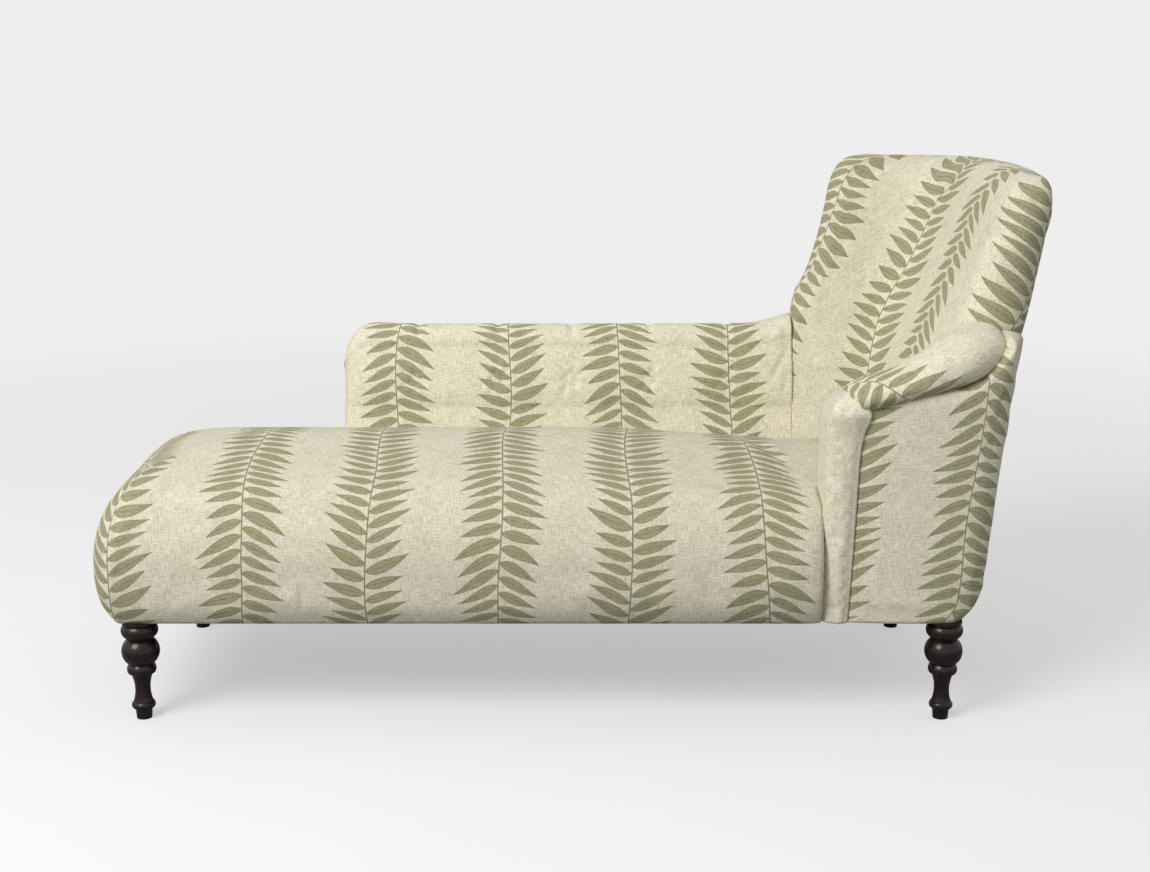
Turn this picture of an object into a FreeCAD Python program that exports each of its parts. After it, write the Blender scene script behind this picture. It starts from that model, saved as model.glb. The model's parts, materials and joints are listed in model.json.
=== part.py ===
"""Chaise longue with a low back, a wrapped head back, one scroll arm and four turned legs.

Millimetres, +Z up. The origin lies on the floor under the middle of the whole piece.
+X is the head end, -X the foot end, -Y the open front and +Y the low back.
"""
import FreeCAD, Part
import math
import os

from FreeCAD import Vector

os.makedirs("parts", exist_ok=True)

# Highest degree of a surface that is lofted through slices
LOFT_DEGREE = 3

# Overall sizes
LENGTH = 1700.0
DEPTH = 786.0
HEIGHT = 942.0
HEM_Z = 181.0
SEAT_CROWN_Z = 445.0
LOW_BACK_Z = 600.0

FOOT_X = -LENGTH / 2
HEAD_X = LENGTH / 2
FRONT_Y = -DEPTH / 2
REAR_Y = DEPTH / 2

# Legs
LEG_SPAN_X = 1400.0
LEG_FOOT_X = -757.5
LEG_HEAD_X = LEG_FOOT_X + LEG_SPAN_X
LEG_FRONT_Y = -350.0
LEG_REAR_Y = 133.0

# Upholstery
COVER = 11.5
FIT = 0.5
SEAT_HEAD_X = 571.0
LOW_BACK_FOOT_X = -467.0
BACK_JOIN_X = 437.0
HEAD_WALL_FOOT_X = BACK_JOIN_X + 3.0
LOW_BACK_THICK = 85.0
BACK_RAKE = math.tan(math.radians(16.0))
BACK_FACE_Y_AT_500 = 229.0
ARM_FRONT_X = 424.0
ARM_FACE_Y = -372.0
ARM_BACK_Y = -264.5
ARM_ROLL_FOOT_Z = 537.0
ARM_ROLL_SLOPE = 0.235
ARM_ROLL_END_X = 734.0
ARM_HOLLOW_TOP_Z = 526.0
ARM_HOLLOW_HEAD_X = 653.0
BAND_SEAM_LOW = (467.0, 100.0)
BAND_SEAM_HIGH = (489.0, 700.0)

# Timber
RAIL_THICK = 30.0
RAIL_TOP_Z = 290.0
FRAME_FOOT_X = -774.0
FRAME_HEAD_X = 651.0
FRAME_FRONT_Y = -362.0
FRAME_REAR_Y = 170.0
WEBBING_Z = RAIL_TOP_Z + 1.0
STRAP_THICK = 2.0
FOAM_FLOOR_Z = 299.0

# Buttons on the low back
BUTTON_XS = (-320.0, -158.0, -7.0, 152.0, 307.0)
BUTTON_Z = 495.0
BUTTON_R = 12.0
TUFT_R = 46.0
TUFT_DEPTH = 7.0


def edge(start, end, through=None):
    """A straight edge, or an arc when a point that it passes through is given."""
    if through is None:
        return Part.makeLine(start, end)
    bend = (through - start).cross(end - start).Length
    if bend < 1.0:
        return Part.makeLine(start, end)
    return Part.Arc(start, through, end).toShape()


def closed_wire(steps):
    """A closed wire from (point, through) steps: each edge runs on to the next step's point."""
    edges = []
    for index, (start, through) in enumerate(steps):
        end = steps[(index + 1) % len(steps)][0]
        edges.append(edge(start, end, through))
    return Part.Wire(edges)


def loft(wires, ruled=False):
    """A closed solid through the wires."""
    return Part.makeLoft(wires, True, ruled, False, LOFT_DEGREE)


def box(x0, x1, y0, y1, z0, z1):
    """A box between its lowest and highest corner."""
    return Part.makeBox(x1 - x0, y1 - y0, z1 - z0, Vector(x0, y0, z0))


def blend(table, at):
    """The value at one height in a table of (height, value) pairs, straight between them."""
    if at <= table[0][0]:
        return table[0][1]
    for (low, first), (high, second) in zip(table, table[1:]):
        if at <= high:
            return first + (second - first) * (at - low) / (high - low)
    return table[-1][1]


def back_face_y(z):
    """Where the raked front face of the low back stands at a height."""
    return BACK_FACE_Y_AT_500 + (z - 500.0) * BACK_RAKE


def raked_box(x0, x1, near, far, z0, z1):
    """A box that leans with the low back, between two distances behind its front face."""
    corners = [
        Vector(x0, back_face_y(z0) + near, z0),
        Vector(x0, back_face_y(z0) + far, z0),
        Vector(x0, back_face_y(z1) + far, z1),
        Vector(x0, back_face_y(z1) + near, z1),
    ]
    outline = Part.makePolygon(corners + corners[:1])
    return Part.Face(outline).extrude(Vector(x1 - x0, 0, 0))


def save(node, shape):
    """Write one piece, or a group of like pieces, under its node's name."""
    if not shape.isValid():
        raise ValueError(node + " isn't valid")
    shape.exportStep("parts/" + node + ".step")
    low = shape.BoundBox
    print(node, len(shape.Solids), round(shape.Volume / 1000.0, 1), "cm3",
          [round(v) for v in (low.XMin, low.XMax, low.YMin, low.YMax, low.ZMin, low.ZMax)])


# The hollow that the base frame fills, cut from every cover
FRAME_SPACE = box(FRAME_FOOT_X - FIT, FRAME_HEAD_X + FIT, FRAME_FRONT_Y - FIT,
                  FRAME_REAR_Y + FIT, HEM_Z - 30.0, RAIL_TOP_Z + FIT)
DECK_SPACE = box(FRAME_FOOT_X - FIT, SEAT_HEAD_X + FIT, FRAME_FRONT_Y - FIT,
                 FRAME_REAR_Y + FIT, HEM_Z, FOAM_FLOOR_Z - 1.0)


# Seat: level slices of the domed cushion. Each row is height, foot end, corner, front edge,
# rear edge and head end.
SEAT_SLICES = (
    (HEM_Z, -812.0, -782.0, -374.0, 222.0, SEAT_HEAD_X),
    (205.0, -834.0, -785.0, -386.0, 232.0, SEAT_HEAD_X),
    (240.0, -848.0, -786.0, FRONT_Y, 238.0, SEAT_HEAD_X),
    (290.0, FOOT_X, -782.0, -391.0, 240.0, SEAT_HEAD_X),
    (330.0, -845.0, -774.0, -381.0, 236.0, SEAT_HEAD_X),
    (363.0, -832.0, -758.0, -364.0, 222.0, SEAT_HEAD_X),
    (392.0, -810.0, -735.0, -341.0, 182.0, SEAT_HEAD_X),
    (413.0, -778.0, -700.0, -300.0, 125.0, SEAT_HEAD_X),
    (428.0, -738.0, -650.0, -232.0, 70.0, 560.0),
    (438.0, -690.0, -590.0, -168.0, 25.0, 440.0),
    (SEAT_CROWN_Z, -600.0, -490.0, -110.0, -30.0, 260.0),
)


def seat_wire(row, inset, drop, head_reach):
    """One level slice of the seat, drawn in by an inset and lowered."""
    z, foot, corner, front, rear, head = row
    z = z - drop
    foot = foot + inset
    corner = corner + inset
    front = front + inset
    rear = rear - inset
    head = head + head_reach
    middle = (front + rear) / 2
    turn = (rear - front) * 0.17
    shoulder = foot + (corner - foot) * 0.10
    bend_x = corner + (shoulder - corner) * 0.68
    return closed_wire([
        (Vector(head, front, z), None),
        (Vector(corner, front, z), Vector(bend_x, front + turn * 0.40, z)),
        (Vector(shoulder, front + turn, z), Vector(foot, middle, z)),
        (Vector(shoulder, rear - turn, z), Vector(bend_x, rear - turn * 0.40, z)),
        (Vector(corner, rear, z), None),
        (Vector(head, rear, z), None),
    ])


def seat_form(inset=0.0, drop=0.0, head_reach=0.0):
    """The domed seat, its foot end rounded like a bolster and its sides drawn in at the hem."""
    return loft([seat_wire(row, inset, drop, head_reach) for row in SEAT_SLICES])


def behind_back_face(clearance):
    """The space from the low back's front face rearwards, from its foot end on."""
    return raked_box(LOW_BACK_FOOT_X - clearance, HEAD_X, -clearance, 400.0, 60.0, 700.0)


def arm_space():
    """The block that the arm takes out of the seat's front corner."""
    return box(ARM_FRONT_X - FIT, HEAD_X, FRONT_Y - 60.0, ARM_BACK_Y + FIT, 60.0, 700.0)


def seat_cover():
    """The cover and its wadding over the whole seat, open below, at the arm and at the backs."""
    shell = seat_form().cut(seat_form(COVER, COVER, 60.0))
    shell = shell.cut(FRAME_SPACE)
    shell = shell.cut(behind_back_face(FIT))
    return shell.cut(arm_space())


def seat_foam():
    """The foam block under the cover, standing on the webbing."""
    core = seat_form(COVER + FIT, COVER + FIT, -COVER)
    core = core.common(box(FOOT_X, HEAD_X, FRONT_Y, REAR_Y, FOAM_FLOOR_Z, HEIGHT))
    core = core.cut(behind_back_face(COVER))
    return core.cut(box(ARM_FRONT_X - COVER, HEAD_X, FRONT_Y, ARM_BACK_Y + COVER, 60.0, 700.0))


# Low back: upright slices along its length. Each row is the place along X, the height of the
# top and the share of the full thickness.
LOW_BACK_SLICES = (
    (LOW_BACK_FOOT_X, LOW_BACK_Z - 42.0, 0.42),
    (LOW_BACK_FOOT_X + 5.0, LOW_BACK_Z - 25.0, 0.70),
    (LOW_BACK_FOOT_X + 17.0, LOW_BACK_Z - 9.0, 0.90),
    (LOW_BACK_FOOT_X + 45.0, LOW_BACK_Z, 1.0),
    (LOW_BACK_FOOT_X + 150.0, LOW_BACK_Z, 1.0),
    (-150.0, LOW_BACK_Z, 1.0),
    (60.0, LOW_BACK_Z, 1.0),
    (240.0, LOW_BACK_Z, 1.0),
    (350.0, LOW_BACK_Z + 3.0, 1.0),
    (BACK_JOIN_X - FIT, LOW_BACK_Z + 20.0, 1.0),
)
LOW_BACK_SHOULDER = 42.0
LOW_BACK_FOAM_FAR = 34.0
LOW_BACK_TIMBER = (36.0, 70.0)
LOW_BACK_POST = 42.0
LOW_BACK_CROWN = 6.0
CROWN_FOOT_Z = 442.0


def low_back_wire(x, top, share):
    """One upright slice of the low back: crowned front, rounded top, flat back."""
    middle_off = LOW_BACK_THICK / 2
    near = middle_off * (1 - share)
    far = LOW_BACK_THICK - near
    shoulder = top - LOW_BACK_SHOULDER
    crown_y = back_face_y(top) + middle_off - 4.0
    front_low = Vector(x, back_face_y(HEM_Z) + near, HEM_Z)
    front_mid = Vector(x, back_face_y(CROWN_FOOT_Z) + near, CROWN_FOOT_Z)
    front_high = Vector(x, back_face_y(shoulder) + near, shoulder)
    back_high = Vector(x, back_face_y(shoulder) + far, shoulder)
    back_low = Vector(x, back_face_y(HEM_Z) + far, HEM_Z)
    front_turn = Vector(x, crown_y - (crown_y - front_high.y) * 0.72, top - LOW_BACK_SHOULDER * 0.31)
    back_turn = Vector(x, crown_y + (back_high.y - crown_y) * 0.72, top - LOW_BACK_SHOULDER * 0.31)
    return closed_wire([
        (front_low, None),
        (front_mid, front_mid.add(front_high).multiply(0.5).add(Vector(0, -LOW_BACK_CROWN * share, 0))),
        (front_high, front_turn),
        (Vector(x, crown_y, top), back_turn),
        (back_high, None),
        (back_low, None),
    ])


def tuft(x):
    """The shallow dimple that one button pulls in."""
    depth_y = back_face_y(BUTTON_Z) - LOW_BACK_CROWN + TUFT_DEPTH
    return Part.makeSphere(TUFT_R, Vector(x, depth_y - TUFT_R, BUTTON_Z))


def top_pull(x):
    """The small notch above one button, where the cloth is drawn over the top edge."""
    start = Vector(x, back_face_y(LOW_BACK_Z) + LOW_BACK_THICK / 2 - 64.0, LOW_BACK_Z + 5.5)
    return Part.makeCylinder(9.0, 70.0, start, Vector(0, 1, 0))


def low_back_cover():
    """The low back's cover, with its foot end rounded and its five tufts drawn in."""
    form = loft([low_back_wire(*row) for row in LOW_BACK_SLICES])
    hollow = raked_box(LOW_BACK_FOOT_X + COVER + 6.0, BACK_JOIN_X + 40.0, COVER, LOW_BACK_THICK - COVER,
                       HEM_Z - 30.0, LOW_BACK_Z - 33.0)
    shell = form.cut(hollow).cut(FRAME_SPACE).cut(DECK_SPACE)
    for x in BUTTON_XS:
        shell = shell.cut(tuft(x)).cut(top_pull(x))
    return shell


def low_back_buttons():
    """Five cloth-covered buttons, each a low dome."""
    seat_y = back_face_y(BUTTON_Z) - LOW_BACK_CROWN + TUFT_DEPTH
    buttons = []
    for x in BUTTON_XS:
        disc = Part.makeCylinder(BUTTON_R, 6.0, Vector(x, seat_y - 7.0, BUTTON_Z), Vector(0, 1, 0))
        buttons.append(disc.makeFillet(2.4, [disc.Edges[0], disc.Edges[2]]))
    return Part.makeCompound(buttons)


def low_back_foam():
    """The foam slab between the low back's cover and its timber."""
    return raked_box(LOW_BACK_FOOT_X + COVER + 7.0, BACK_JOIN_X - 1.0, COVER + FIT, LOW_BACK_FOAM_FAR,
                     RAIL_TOP_Z + 20.0, LOW_BACK_Z - 34.0)


# Head back: level slices of the wall that wraps round the rear corner of the head end. Each
# row is height, foot side end, rear front face, rear back face, side front face, side outer
# face, outward swell, near end, inner corner radius, outer corner radius, end rounding.
HEAD_SLICES = (
    (HEM_Z, HEAD_WALL_FOOT_X, 137.5, 222.0, 576.0, 676.0, 0.0, -262.0, 12.0, 30.0, 4.0),
    (205.0, HEAD_WALL_FOOT_X, 144.4, 232.0, 576.0, 695.0, 1.0, -262.0, 12.0, 36.0, 4.0),
    (240.0, HEAD_WALL_FOOT_X, 154.4, 243.0, 576.0, 709.0, 2.0, -262.0, 12.0, 42.0, 4.0),
    (330.0, HEAD_WALL_FOOT_X, 180.3, 268.0, 577.0, 721.0, 4.0, -262.0, 14.0, 55.0, 4.0),
    (436.0, HEAD_WALL_FOOT_X, 210.7, 298.0, 583.0, 735.0, 6.0, -262.0, 30.0, 70.0, 5.0),
    (540.0, HEAD_WALL_FOOT_X, 240.5, 328.0, 614.0, 751.0, 8.0, -262.0, 62.0, 90.0, 7.0),
    (600.0, HEAD_WALL_FOOT_X, 257.7, 344.0, 636.0, 764.0, 10.0, -262.0, 80.0, 105.0, 14.0),
    (655.0, 449.0, 268.0, 356.0, 657.0, 777.0, 12.0, -262.0, 90.0, 115.0, 30.0),
    (715.0, 471.0, 278.0, 366.0, 680.0, 790.0, 15.0, -262.0, 96.0, 125.0, 40.0),
    (780.0, 488.0, 290.0, 376.0, 701.0, 801.0, 20.0, -262.0, 100.0, 132.0, 43.0),
    (838.0, 501.0, 300.0, 386.0, 719.0, 811.0, 26.0, -262.0, 100.0, 138.0, 42.0),
    (882.0, 513.0, 309.0, REAR_Y, 731.0, 817.0, 30.0, -260.0, 98.0, 140.0, 38.0),
    (913.0, 529.0, 320.0, 390.0, 745.0, 815.0, 31.0, -251.0, 92.0, 138.0, 30.0),
    (933.0, 551.0, 334.0, 380.0, 760.0, 806.0, 32.0, -232.0, 84.0, 126.0, 19.0),
    (HEIGHT, 582.0, 348.0, 366.0, 774.0, 792.0, 34.0, -200.0, 76.0, 110.0, 6.0),
)
QUARTER = math.sqrt(0.5)


def head_wire(row, near_cut, far_cut, end_cut, drop=0.0):
    """One level slice of the head back's wall, drawn in on its sitter's, outer and end sides."""
    z, foot, rear_in, rear_out, side_in, side_out, swell, end_y, turn_in, turn_out, ease = row
    z = z - drop
    foot = foot + end_cut
    end_y = end_y + end_cut
    rear_in = rear_in + near_cut
    rear_out = rear_out - far_cut
    side_in = side_in + near_cut
    side_out = side_out - far_cut
    rear_mid = (rear_in + rear_out) / 2
    side_mid = (side_in + side_out) / 2
    ease = min(ease, (rear_out - rear_in) * 0.48, (side_out - side_in) * 0.48)
    # The wall's outer side swells most at mid depth, and its sitter's side a third as much
    corner_out = side_out + swell * 0.75
    corner_in = side_in + swell * 0.45
    half_y = (end_y + rear_in) / 2
    slack = 1 - QUARTER
    rear_half = (rear_out - rear_in) / 2
    side_half = (side_out - side_in) / 2
    return closed_wire([
        (Vector(foot + ease, rear_out, z), None),
        (Vector(corner_out - turn_out, rear_out, z),
         Vector(corner_out - turn_out * slack, rear_out - turn_out * slack, z)),
        (Vector(corner_out, rear_out - turn_out, z), Vector(side_out + swell, half_y, z)),
        (Vector(side_out, end_y + ease, z),
         Vector(side_mid + side_half * QUARTER, end_y + ease * slack, z)),
        (Vector(side_mid, end_y, z),
         Vector(side_mid - side_half * QUARTER, end_y + ease * slack, z)),
        (Vector(side_in, end_y + ease, z), Vector(side_in + swell * 0.4, half_y, z)),
        (Vector(corner_in, rear_in - turn_in, z),
         Vector(corner_in - turn_in * slack, rear_in - turn_in * slack, z)),
        (Vector(corner_in - turn_in, rear_in, z), None),
        (Vector(foot + ease, rear_in, z),
         Vector(foot + ease * slack, rear_mid - rear_half * QUARTER, z)),
        (Vector(foot, rear_mid, z),
         Vector(foot + ease * slack, rear_mid + rear_half * QUARTER, z)),
    ])


def head_row(z):
    """The head back's slice at any height, straight between the listed ones."""
    columns = len(HEAD_SLICES[0])
    values = [blend([(row[0], row[column]) for row in HEAD_SLICES], z) for column in range(1, columns)]
    return (z,) + tuple(values)


def head_band(z0, z1, near_cut, far_cut, end_cut):
    """A band of the head back's wall between two heights, drawn in on every side."""
    middle = (z0 + z1) / 2
    return loft([head_wire(head_row(z), near_cut, far_cut, end_cut) for z in (z0, middle, z1)])


def head_form():
    """The whole wall of the head back, raked, swelling outwards and rounded over its rim."""
    return loft([head_wire(row, 0.0, 0.0, 0.0) for row in HEAD_SLICES])


def head_hollow():
    """The space for foam and timber inside the head back's cover."""
    rows = [row for row in HEAD_SLICES if 190.0 < row[0] < 900.0]
    wires = [head_wire(head_row(HEM_Z), COVER, COVER, COVER, 30.0)]
    wires += [head_wire(row, COVER, COVER, COVER) for row in rows]
    return loft(wires)


def head_back_cover():
    """The head back's cover, inside, over the rim and down the outside to the hem."""
    return head_form().cut(head_hollow()).cut(FRAME_SPACE).cut(DECK_SPACE)


HEAD_FOAM = 19.0
HEAD_FOAM_GAP = 1.5
HEAD_TIMBER_NEAR = COVER + HEAD_FOAM + 4.0
HEAD_TIMBER_FAR = COVER + FIT
HEAD_RAIL_Z = (842.0, 882.0)
HEAD_TACK_Z = (455.0, 495.0)
HEAD_POST_ZS = (300.0, 436.0, 540.0, 600.0, 655.0, 715.0, 780.0, 841.5)


def head_back_foam():
    """The foam on the sitter's side of the head back, bent round the corner with it."""
    rows = [head_row(RAIL_TOP_Z + 12.0)]
    rows += [row for row in HEAD_SLICES if 320.0 < row[0] < 880.0]
    rows.append(head_row(868.0))
    return loft([foam_wire(row) for row in rows])


def foam_wire(row):
    """One level slice of the head back's foam."""
    z, foot, rear_in, rear_out, side_in, side_out, swell, end_y, turn_in, turn_out, ease = row
    near = COVER + HEAD_FOAM_GAP
    far = near + HEAD_FOAM
    end = end_y + max(ease, COVER) + 14.0
    start = foot + max(ease, COVER) + 14.0
    corner_in = side_in + swell * 0.45
    half_y = (end_y + rear_in) / 2
    slack = 1 - QUARTER

    def corner(off):
        radius = turn_in
        x = corner_in + off
        y = rear_in + off
        return (Vector(x, y - radius, z), Vector(x - radius * slack, y - radius * slack, z),
                Vector(x - radius, y, z))

    near_up, near_turn, near_on = corner(near)
    far_up, far_turn, far_on = corner(far)
    return closed_wire([
        (Vector(start, rear_in + near, z), None),
        (near_on, near_turn),
        (near_up, Vector(side_in + swell * 0.4 + near, half_y, z)),
        (Vector(side_in + near, end, z), None),
        (Vector(side_in + far, end, z), Vector(side_in + swell * 0.4 + far, half_y, z)),
        (far_up, far_turn),
        (far_on, None),
        (Vector(start, rear_in + far, z), None),
    ])


def head_post(place, width_x, width_y):
    """A post sawn to the wall's rake, following a place that is given as a function of a slice."""
    wires = []
    for z in HEAD_POST_ZS:
        x, y = place(head_row(z))
        corners = [
            Vector(x - width_x / 2, y - width_y / 2, z),
            Vector(x + width_x / 2, y - width_y / 2, z),
            Vector(x + width_x / 2, y + width_y / 2, z),
            Vector(x - width_x / 2, y + width_y / 2, z),
        ]
        wires.append(Part.makePolygon(corners + corners[:1]))
    return loft(wires, True)


def rear_post_place(row):
    """Middle of the post where the head back meets the low back."""
    return row[1] + 46.0, row[3] - COVER - 16.0


def corner_post_place(row):
    """Middle of the post in the rear corner of the head end."""
    inward = row[9] * (1 - QUARTER) + COVER + 17.0
    return row[5] + row[6] * 0.75 - inward, row[3] - inward


def front_post_place(row):
    """Middle of the post behind the near end of the head back."""
    return row[5] - COVER - 16.0, row[7] + 68.0


# Arm: level slices of its box. Each row is height, front edge of the band, outer side and how
# far the panel stands out in front.
ARM_SLICES = (
    (HEM_Z, 426.0, 675.0, 374.0),
    (205.0, 425.0, 694.0, 375.0),
    (240.0, ARM_FRONT_X, 707.0, 376.0),
    (330.0, ARM_FRONT_X, 717.0, 377.0),
    (436.0, ARM_FRONT_X, 727.0, 376.0),
    (540.0, 426.0, 738.0, 374.0),
    (640.0, 430.0, 745.0, 372.0),
)
ARM_FRONT_EASE = 20.0
ARM_SIDE_EASE = 34.0


def arm_wire(row):
    """One level slice of the arm's box: rounded front edges, its side meeting the head back's."""
    z, front, side, face = row
    slack = 1 - QUARTER
    return closed_wire([
        (Vector(head_row(z)[5], ARM_BACK_Y, z), None),
        (Vector(side, -face + ARM_SIDE_EASE, z),
         Vector(side - ARM_SIDE_EASE * slack, -face + ARM_SIDE_EASE * slack, z)),
        (Vector(side - ARM_SIDE_EASE, -face, z), None),
        (Vector(front + ARM_FRONT_EASE, -face, z),
         Vector(front + ARM_FRONT_EASE * slack, -face + ARM_FRONT_EASE * slack, z)),
        (Vector(front, -face + ARM_FRONT_EASE, z), None),
        (Vector(front, ARM_BACK_Y, z), None),
    ])


def above_arm():
    """Everything above the plane that the arm's roll lies on."""
    z0 = ARM_ROLL_FOOT_Z
    z1 = ARM_ROLL_FOOT_Z + ARM_ROLL_SLOPE * 600.0
    corners = [Vector(300.0, -500.0, z0 - ARM_ROLL_SLOPE * (ARM_FRONT_X - 300.0)),
               Vector(1000.0, -500.0, z1 - ARM_ROLL_SLOPE * (ARM_FRONT_X - 400.0)),
               Vector(1000.0, -500.0, 900.0), Vector(300.0, -500.0, 900.0)]
    return Part.Face(Part.makePolygon(corners + corners[:1])).extrude(Vector(0, 500.0, 0))


def roll_floor_z(x):
    """Height of the plane that the arm's roll lies on."""
    return ARM_ROLL_FOOT_Z + ARM_ROLL_SLOPE * (x - ARM_FRONT_X)


def arm_box():
    """The arm's outer form below its roll, hollow inside for its timber."""
    form = loft([arm_wire(row) for row in ARM_SLICES])
    form = form.cut(above_arm())
    hollow = box(ARM_FRONT_X + COVER + 4.0, ARM_HOLLOW_HEAD_X, ARM_FACE_Y + COVER, ARM_BACK_Y - COVER,
                 HEM_Z - 30.0, ARM_HOLLOW_TOP_Z)
    return form.cut(hollow).cut(FRAME_SPACE).cut(DECK_SPACE)


def beyond_band():
    """The space on the head side of the seam between the arm's front band and its panel."""
    low_x, low_z = BAND_SEAM_LOW
    high_x, high_z = BAND_SEAM_HIGH
    corners = [Vector(low_x, -500.0, low_z), Vector(high_x, -500.0, high_z),
               Vector(1000.0, -500.0, high_z), Vector(1000.0, -500.0, low_z)]
    return Part.Face(Part.makePolygon(corners + corners[:1])).extrude(Vector(0, 400.0, 0))


# Roll: upright slices along the arm. Each row is the place along X, the height above its floor
# and the share of its full depth.
ROLL_SLICES = (
    (431.0, 22.0, 0.62),
    (438.0, 32.0, 0.84),
    (451.0, 40.0, 0.96),
    (481.0, 46.0, 1.0),
    (540.0, 50.0, 1.0),
    (600.0, 56.0, 1.0),
    (660.0, 62.0, 1.0),
    (700.0, 66.0, 0.97),
    (ARM_ROLL_END_X, 64.0, 0.84),
)
ROLL_DEPTH = 128.0
ROLL_BACK_Y = ARM_BACK_Y + 0.2
ROLL_GAP = 0.4
ARM_BOARD_XS = (455.0, 690.0)
ARM_BOARD_YS = (-352.0, -284.0)
ARM_BOARD_THICK = 20.0
ARM_POST_XS = (442.0, 482.0)
ARM_TIMBER_FRONT_Y = -356.0


def roll_wire(x, rise, share):
    """One upright slice of the roll: flat below, full in front and over the top."""
    floor = roll_floor_z(x) + ROLL_GAP
    back = ROLL_BACK_Y
    depth = ROLL_DEPTH * share
    front = back - depth
    top = floor + rise
    return closed_wire([
        (Vector(x, back, floor), None),
        (Vector(x, front + depth * 0.16, floor), Vector(x, front + depth * 0.035, floor + rise * 0.17)),
        (Vector(x, front, floor + rise * 0.45), Vector(x, front + depth * 0.12, floor + rise * 0.83)),
        (Vector(x, front + depth * 0.45, top), Vector(x, front + depth * 0.80, floor + rise * 0.93)),
        (Vector(x, back, floor + rise * 0.66), None),
    ])


def arm_roll():
    """The padded roll along the top of the arm, hollow for the arm board."""
    form = loft([roll_wire(*row) for row in ROLL_SLICES])
    return form.cut(arm_board_space(FIT))


def arm_board_space(clearance):
    """The sloping board inside the roll, with a clearance all round."""
    x0 = ARM_BOARD_XS[0] - clearance
    x1 = ARM_BOARD_XS[1] + clearance
    y0 = ARM_BOARD_YS[0] - clearance
    y1 = ARM_BOARD_YS[1] + clearance
    thick = ARM_BOARD_THICK
    corners = [Vector(x0, y0, roll_floor_z(x0) - 1.0),
               Vector(x1, y0, roll_floor_z(x1) - 1.0),
               Vector(x1, y0, roll_floor_z(x1) + thick + clearance),
               Vector(x0, y0, roll_floor_z(x0) + thick + clearance)]
    return Part.Face(Part.makePolygon(corners + corners[:1])).extrude(Vector(0, y1 - y0, 0))


def arm_board():
    """The sloping board that the roll is padded on."""
    return arm_board_space(0.0).cut(arm_box_top())


def arm_box_top():
    """What lies under the board, so that it rests on the arm's box."""
    return box(300.0, 900.0, -500.0, 0.0, 0.0, 900.0).cut(above_arm())


def arm_post():
    """The upright post at the arm's front end."""
    x0, x1 = ARM_POST_XS
    return box(x0, x1, ARM_TIMBER_FRONT_Y, -300.0, FOAM_FLOOR_Z - 1.0 + FIT, ARM_HOLLOW_TOP_Z - 1.0)


def arm_side_rail():
    """The rail across the arm's box that carries the outside cover."""
    return box(ARM_POST_XS[1] + 2.0, 640.0, ARM_TIMBER_FRONT_Y, ARM_TIMBER_FRONT_Y + RAIL_THICK,
               480.0, ARM_HOLLOW_TOP_Z - 1.0)


# Legs: the turned outline as (height, radius) pairs with the points that each arc passes through
LEG_TOP_R = 29.5
LEG_OUTLINE = (
    ((0.0, 13.2), None),
    ((17.5, 14.6), (22.0, 20.0)),
    ((31.5, 17.0), (62.0, 13.6)),
    ((80.5, 18.0), None),
    ((84.5, 23.5), (91.0, 25.2)),
    ((97.5, 23.5), None),
    ((101.0, 21.5), (123.0, 32.9)),
    ((146.0, 22.5), None),
    ((149.0, 23.8), (161.5, 32.0)),
    ((174.0, 26.0), None),
    ((175.5, LEG_TOP_R), None),
    ((HEM_Z, LEG_TOP_R), None),
)


def leg(x, y):
    """One turned leg: a tapered foot, a waisted neck, a collar, a ball and a flat ring."""
    edges = []
    last = Vector(0, 0, 0)
    for index, ((z, radius), through) in enumerate(LEG_OUTLINE):
        point = Vector(radius, 0, z)
        if index == 0:
            edges.append(edge(last, point))
        else:
            before = LEG_OUTLINE[index - 1][1]
            bend = Vector(before[1], 0, before[0]) if before else None
            edges.append(edge(last, point, bend))
        last = point
    axis_top = Vector(0, 0, HEM_Z)
    edges.append(edge(last, axis_top))
    edges.append(edge(axis_top, Vector(0, 0, 0)))
    body = Part.Face(Part.Wire(edges)).revolve(Vector(0, 0, 0), Vector(0, 0, 1), 360)
    if body.ShapeType != "Solid":
        body = body.Solids[0]
    body.translate(Vector(x, y, 0))
    return body.cut(bolt_space(x, y, FIT))


BOLT_R = 4.0
BOLT_LOW_Z = 140.0
BOLT_HIGH_Z = 222.0
LEGS = (
    ("leg_front_foot_end", LEG_FOOT_X, LEG_FRONT_Y),
    ("leg_rear_foot_end", LEG_FOOT_X, LEG_REAR_Y),
    ("leg_front_head_end", LEG_HEAD_X, LEG_FRONT_Y),
    ("leg_rear_head_end", LEG_HEAD_X, LEG_REAR_Y),
)


def bolt_space(x, y, clearance):
    """A leg's double-ended bolt, with a clearance all round."""
    low = BOLT_LOW_Z - clearance
    return Part.makeCylinder(BOLT_R + clearance, BOLT_HIGH_Z - BOLT_LOW_Z + 2 * clearance, Vector(x, y, low))


def hanger_bolts():
    """The four bolts that hold the legs."""
    return Part.makeCompound([bolt_space(x, y, 0.0) for _, x, y in LEGS])


def bolt_spaces():
    """The clearance holes for the four bolts."""
    return Part.makeCompound([bolt_space(x, y, FIT) for _, x, y in LEGS])


# Base frame
BASE_Z = HEM_Z + 0.5
STRETCHER_XS = (-300.0, 170.0)
BLOCK = 70.0


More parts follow.
